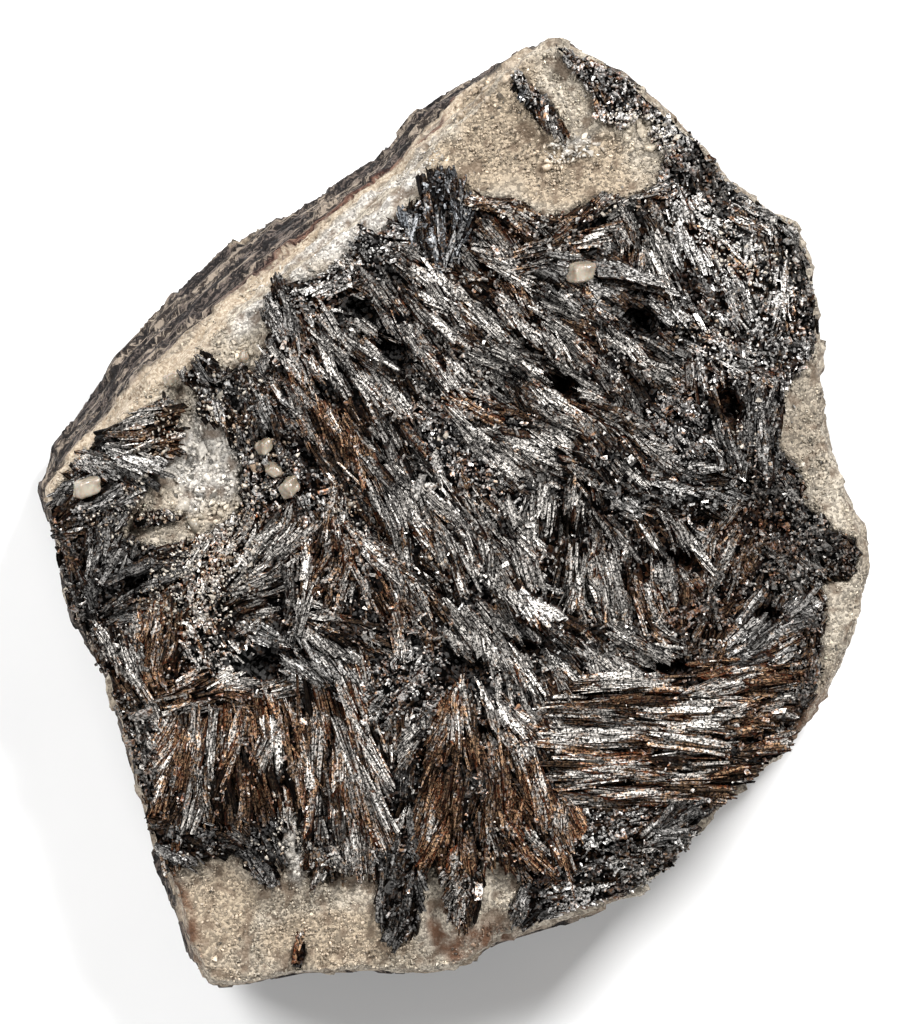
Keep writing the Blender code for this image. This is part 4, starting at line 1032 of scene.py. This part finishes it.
def lay_laths(ground, rock):
    """Rows for every lath and chip of the crust, sorted into their pieces."""
    grounds = (ground, rock)
    dice = np.random.default_rng(20)
    rows = [(group, *sheaf) for group, sheaves in SHEAF_GROUPS.items() for sheaf in sheaves]
    numbers = np.array([row[1:6] for row in rows], dtype=float)
    low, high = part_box("betekhtinite_crust")
    low, high = Vector(low) / MM, Vector(high) / MM
    top = high.z
    tries = int((high.x - low.x) * (high.y - low.y) * LATHS_TRIED)
    laths = {group: [] for group in SHEAF_GROUPS}
    chips = {"chips_north": [], "chips_south": []}
    for _ in range(tries):
        x = dice.uniform(low.x, high.x)
        y = dice.uniform(low.y, high.y)
        hit = ground.height(x, y)
        if hit is None:
            continue
        pit = patch_weight(x, y, PITS)
        if pit > dice.uniform(0.2, 0.7):
            continue
        best, along, across = nearest_sheaf(x, y, numbers, dice)
        crevice = rumple((0.5 * along, 1.5 * across, best * 2.3), 1.0)
        if crevice > 0.48 and dice.random() < 0.92:
            continue
        group, _, _, heading, _, sheaf_width, kind = rows[best]
        tone, rust, blue, grains, usual, thick = KINDS[kind]
        if dice.random() < grains:
            key = "chips_north" if y > CHIPS_PART_AT else "chips_south"
            if dice.random() < 0.55:
                chips[key] += lay_chips(x, y, kind, ground, dice, top)
            if dice.random() < 0.75:
                continue
        bundle = across / BUNDLE_WIDTH + 0.5 * rumple((0.35 * along, best * 3.1, 0.0), 1.0)
        number = math.floor(bundle)
        segment = math.floor(along / BUNDLE_LENGTH + 0.5 * chance(1, number, best, 0))
        mark = (number, best, segment)
        beside = bundle - number - 0.5
        if abs(beside) > 0.42 and dice.random() < 0.5:
            continue
        form, length, width, height = lath_form(kind, usual, thick, dice)
        stray = STRAY.get(kind, 1.0)
        bearing = heading + stray * (16.0 * across / sheaf_width + 8.0 * chance(2, *mark))
        bearing += stray * (10.0 * rumple((along, across, best * 1.7), 2.6)
                            + dice.normal(0.0, 4.5))
        lift = 0.16 * chance(3, *mark) - 0.7 * beside * beside + dice.normal(0.0, 0.10)
        roll = 11.0 * chance(4, *mark) + 24.0 * beside + dice.normal(0.0, 12.0)
        row = place_lath(x, y, bearing, length, width, height, lift, roll, grounds, dice, top)
        if row is None:
            continue
        # painted highlight: in the glint patches a lath is painted up to 2.3 times brighter, and
        # its brightness cap is raised
        glint_paint = patch_weight(x, y, GLINT_PAINT_PATCHES)
        shade = tone * (1.0 + 0.16 * chance(5, *mark)) * dice.lognormal(0.0, 0.28)
        # painted shade and light: a lath that lies lower is painted darker, down to near black,
        # and one that lies higher a little lighter
        shade *= min(1.30, max(0.04, 1.05 + 2.3 * lift)) * (1.0 + 1.3 * glint_paint)
        # painted highlight: one lath in about thirty is painted 2.2 times brighter, as a glint
        if dice.random() < 0.03:
            shade *= 2.2
        # painted shade: laths inside pits and beside crevices are painted darker
        shade *= (1.0 - 0.9 * pit) * (1.0 - 0.75 * ramp(0.15, 0.5, crevice))
        stain = rust + 0.26 * rumple((x, y, 0.0), 2.6, 5.0) + 0.06 * chance(6, *mark)
        stain += dice.normal(0.0, 0.08) - 1.3 * lift + 0.45 * ramp(0.0, 0.45, crevice)
        stain = min(1.0, max(0.0, stain))
        brightest = 1.8 + 0.6 * glint_paint - 0.5 * stain
        tint = (min(brightest, max(0.03, shade)), stain, blue * dice.uniform(0.3, 1.0))
        laths[group].append((*row, form, tint))
    return laths, chips


def place_lath(x, y, bearing, length, width, height, lift, roll, grounds, dice, top):
    """Place, turn and size of a lath that lies on the crust and may reach out over the rock, or
    None where it finds no hold."""
    crust, rock = grounds
    angle = math.radians(bearing)
    step = Vector((math.cos(angle), math.sin(angle)))
    for _ in range(4):
        ends = []
        for side in (-0.5, 0.5):
            place = (x + side * length * step.x, y + side * length * step.y)
            ends.append(crust.height(*place) or rock.height(*place))
            if not crust.height(*place):
                length *= 0.8
        if all(ends):
            break
        length *= 0.7
    else:
        return None
    root, tip = ends
    middle = crust.height(x, y)[0]
    slope = math.atan2(tip[0] - root[0], length)
    steep = abs(slope) > STEEPEST
    slope = min(STEEPEST, max(-STEEPEST, slope)) + dice.normal(0.0, 0.05)
    base = middle if steep else max(middle, 0.5 * (root[0] + tip[0]))
    reach = 0.5 * length * abs(math.sin(slope)) + 0.5 * height
    reach += 0.5 * width * abs(math.sin(math.radians(roll)))
    z = min(base + lift, top + HEADROOM - reach)
    if dice.random() < 0.5:
        angle += math.pi
        slope = -slope
    return (x, y, z), (math.radians(roll), -slope, angle), (length, width, height)


def block_form(size, longest, narrowest, dice):
    """How a chip or grain lies, and its length, width and height."""
    turn = (dice.uniform(-1.0, 1.0), dice.uniform(-1.0, 1.0), dice.uniform(0.0, 6.28))
    return turn, (size * dice.uniform(0.8, longest), size * dice.uniform(narrowest, 1.0),
                  size * dice.uniform(0.6, 1.0))


def lay_chips(x, y, kind, ground, dice, top):
    """A few angular grains round a place on the crust."""
    rows = []
    glint_paint = patch_weight(x, y, GLINT_PAINT_PATCHES)
    tone, rust, blue = KINDS[kind][:3]
    for _ in range(int(dice.integers(2, 5))):
        own_x = x + dice.normal(0.0, 0.30)
        own_y = y + dice.normal(0.0, 0.30)
        under = ground.height(own_x, own_y)
        if under is None:
            continue
        size = 0.14 * dice.lognormal(0.0, 0.45)
        z = min(under[0] + dice.normal(0.02, 0.12), top + HEADROOM - size)
        turn, form = block_form(size, 1.9, 0.6, dice)
        # painted highlight: chips in the glint patches are painted up to 3.2 times brighter
        shade = tone * dice.lognormal(-0.1, 0.50) * (1.0 + 2.2 * glint_paint)
        tint = (min(2.4, shade), min(0.5, max(0.0, 0.7 * rust + dice.normal(0.0, 0.1))), blue)
        rows.append(((own_x, own_y, z), turn, form, int(dice.integers(0, 3)), tint))
    return rows


def grain_row(x, y, z, colour, size, dice):
    """A calcite grain of about that colour and size.  A few are dark, and a few very pale."""
    turn, form = block_form(size, 1.5, 0.7, dice)
    pick = dice.random()
    colour = colour * dice.lognormal(0.0, 0.26)
    if pick < 0.10:
        colour = colour * 0.22
    elif pick > 0.93:
        colour = colour * 1.5
    return (x, y, z), turn, form, int(dice.integers(0, 3)), tuple(np.clip(colour, 0.01, 0.88))


def lay_sugar(ground, crust_ground):
    """Rows for the calcite grains on the bare carbonate and among the laths, in two halves."""
    dice = np.random.default_rng(31)
    low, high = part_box("matrix")
    low, high = Vector(low) / MM, Vector(high) / MM
    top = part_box("betekhtinite_crust")[1][2] / MM
    rows = {"calcite_grains_north": [], "calcite_grains_south": []}
    tries = int((high.x - low.x) * (high.y - low.y) * GRAINS_TRIED)
    for _ in range(tries):
        x = dice.uniform(low.x, high.x)
        y = dice.uniform(low.y, high.y)
        half = "calcite_grains_north" if y > GRAINS_PART_AT else "calcite_grains_south"
        over = crust_ground.height(x, y)
        if over is not None:
            thick = max(share * patch_weight(x, y, [patch]) for patch, share in SPECKLED)
            if dice.random() > 0.62 * thick:
                continue
            size = 0.19 * dice.lognormal(0.0, 0.35)
            z = min(over[0] + dice.uniform(0.02, 0.34), top + HEADROOM - size)
            rusty = dice.random() < 0.35 and thick < 1.0
            colour = np.array(GRAIN_IN_RUST if rusty else GRAIN_IN_CRUST)
            rows[half].append(grain_row(x, y, z, colour, size, dice))
            continue
        hit = ground.height(x, y)
        if hit is None or hit[1].z < 0.5 or hit[0] < contact_height(x, y) + 0.1:
            continue
        if dice.random() < 0.85 * pore((x, y, hit[0])):
            continue
        bleached = patch_weight(x, y, BLEACHED)
        ochre = patch_weight(x, y, OCHRE) * (1.0 - bleached)
        stain = 0.8 * patch_weight(x, y, STAINED)
        colour = np.array(GRAIN_PLAIN)
        for share, hue in ((bleached, GRAIN_BLEACHED), (ochre, GRAIN_OCHRE),
                           (stain, GRAIN_STAINED)):
            colour = colour * (1.0 - share) + np.array(hue) * share
        size = 0.155 * dice.lognormal(0.0, 0.36)
        coarse = patch_weight(x, y, COARSE)
        if dice.random() < 0.45 * coarse:
            size *= dice.uniform(1.5, 2.8)
            colour = colour * 1.08
        z = hit[0] + 0.10 * coarse
        if hit[0] > FACE_FLOOR:
            z += crust_ground.skirt(x, y, hit[0])
        rows[half].append(grain_row(x, y, z, colour, size, dice))
    return rows


def make_crystal(name, node, material):
    """A calcite crystal with softened, slightly uneven faces."""
    def relief(point):
        return 0.05 * rumple(point, 0.6, 8.0) + 0.03 * rumple(point, 0.3, 2.0)

    data = remeshed(name, node, 0.10)
    rounded = bmesh.new()
    rounded.from_mesh(data)
    for _ in range(5):
        bmesh.ops.smooth_vert(rounded, verts=rounded.verts[:], factor=0.5, use_axis_x=True,
                              use_axis_y=True, use_axis_z=True)
    rounded.to_mesh(data)
    rounded.free()
    push_out(data, relief)
    crystal = new_object(name, data, material)
    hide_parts(node)
    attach(crystal, "root")


# Floor, lights and camera

def make_floor():
    bpy.ops.mesh.primitive_plane_add(size=3.0, location=(0.0, 0.0, -0.0002))
    floor = bpy.context.object
    floor.name = "floor"
    material, nodes, shader, place = new_material("pale_floor")
    fine = nodes.ramp(nodes.noise(place["Object"], 40.0), 0.3, 0.7, 0.86, 0.90)
    feed(nodes, shader, {"Base Color": nodes.grey(fine), "Roughness": 0.9})
    floor.data.materials.append(material)


def add_light(name, place, size, power):
    light = bpy.data.lights.new(name, "AREA")
    light.shape = "SQUARE"
    light.size = size
    light.energy = power
    obj = new_object(name, light)
    obj.location = place
    obj.rotation_euler = (-Vector(place)).to_track_quat("-Z", "Y").to_euler()


def make_camera():
    """Looks straight down at the front face."""
    camera = bpy.data.cameras.new("camera")
    camera.sensor_width = SENSOR
    camera.lens = SENSOR * (CAMERA_HEIGHT - FACE_HEIGHT) / FRAMED
    camera.clip_start = 0.05
    obj = new_object("camera", camera)
    obj.location = (-0.00007, 0.00002, CAMERA_HEIGHT)
    bpy.context.scene.camera = obj


def make_studio():
    world = bpy.data.worlds.new("studio")
    world.use_nodes = True
    sky = world.node_tree.nodes["Background"].inputs
    sky["Color"].default_value = (1.0, 0.99, 0.98, 1.0)
    sky["Strength"].default_value = 0.08
    bpy.context.scene.world = world
    for light in LIGHTS:
        add_light(*light)
    bpy.context.scene.view_settings.view_transform = "Standard"
    # Few bounces, which keeps the render short
    light_paths = bpy.context.scene.cycles
    light_paths.max_bounces = 4
    light_paths.diffuse_bounces = 2
    light_paths.glossy_bounces = 2
    light_paths.transmission_bounces = 4


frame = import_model()


def main():
    groups = {"streaks": streak_group(), "rust": rust_group(), "grain": grain_group()}
    lath_finish = lath_material(groups)
    bed_finish = bed_material(groups)
    chip_finish = chip_material(groups)
    calcite_finish = calcite_material(groups)
    crust = Ground("betekhtinite_crust", "betekhtinite_top_tuft", "betekhtinite_low_speck",
                   "betekhtinite_patch_lath")
    make_rock(rock_material(groups), crust)
    make_bed("crystal_bed", "betekhtinite_crust", bed_finish, voxel=0.28, sink=0.22)
    for node in ("betekhtinite_top_tuft", "betekhtinite_low_speck", "betekhtinite_patch_lath"):
        make_bed(node + "_bed", node, bed_finish, voxel=0.2, sink=0.05)
    for node in sorted(frame["nodes"]):
        if node.startswith("calcite_"):
            make_crystal(node + "_crystal", node, calcite_finish)

    tree = scatter_tree()
    lath_shapes = lath_kinds()
    chip_shapes = chip_kinds()
    sugar_shapes = sugar_kinds()
    rock = Ground("matrix")
    laths, chips = lay_laths(crust, rock)
    for name, rows in laths.items():
        scattered(name, rows, lath_shapes, lath_finish, tree)
    for name, rows in chips.items():
        scattered(name, rows, chip_shapes, chip_finish, tree)
    sugar_finish = sugar_material()
    for name, rows in lay_sugar(rock, crust).items():
        scattered(name, rows, sugar_shapes, sugar_finish, tree)
    for kinds in (lath_shapes, chip_shapes, sugar_shapes):
        for shape in list(kinds.objects):
            bpy.data.objects.remove(shape, do_unlink=True)
        bpy.data.collections.remove(kinds)
    make_floor()
    make_studio()
    make_camera()


main()
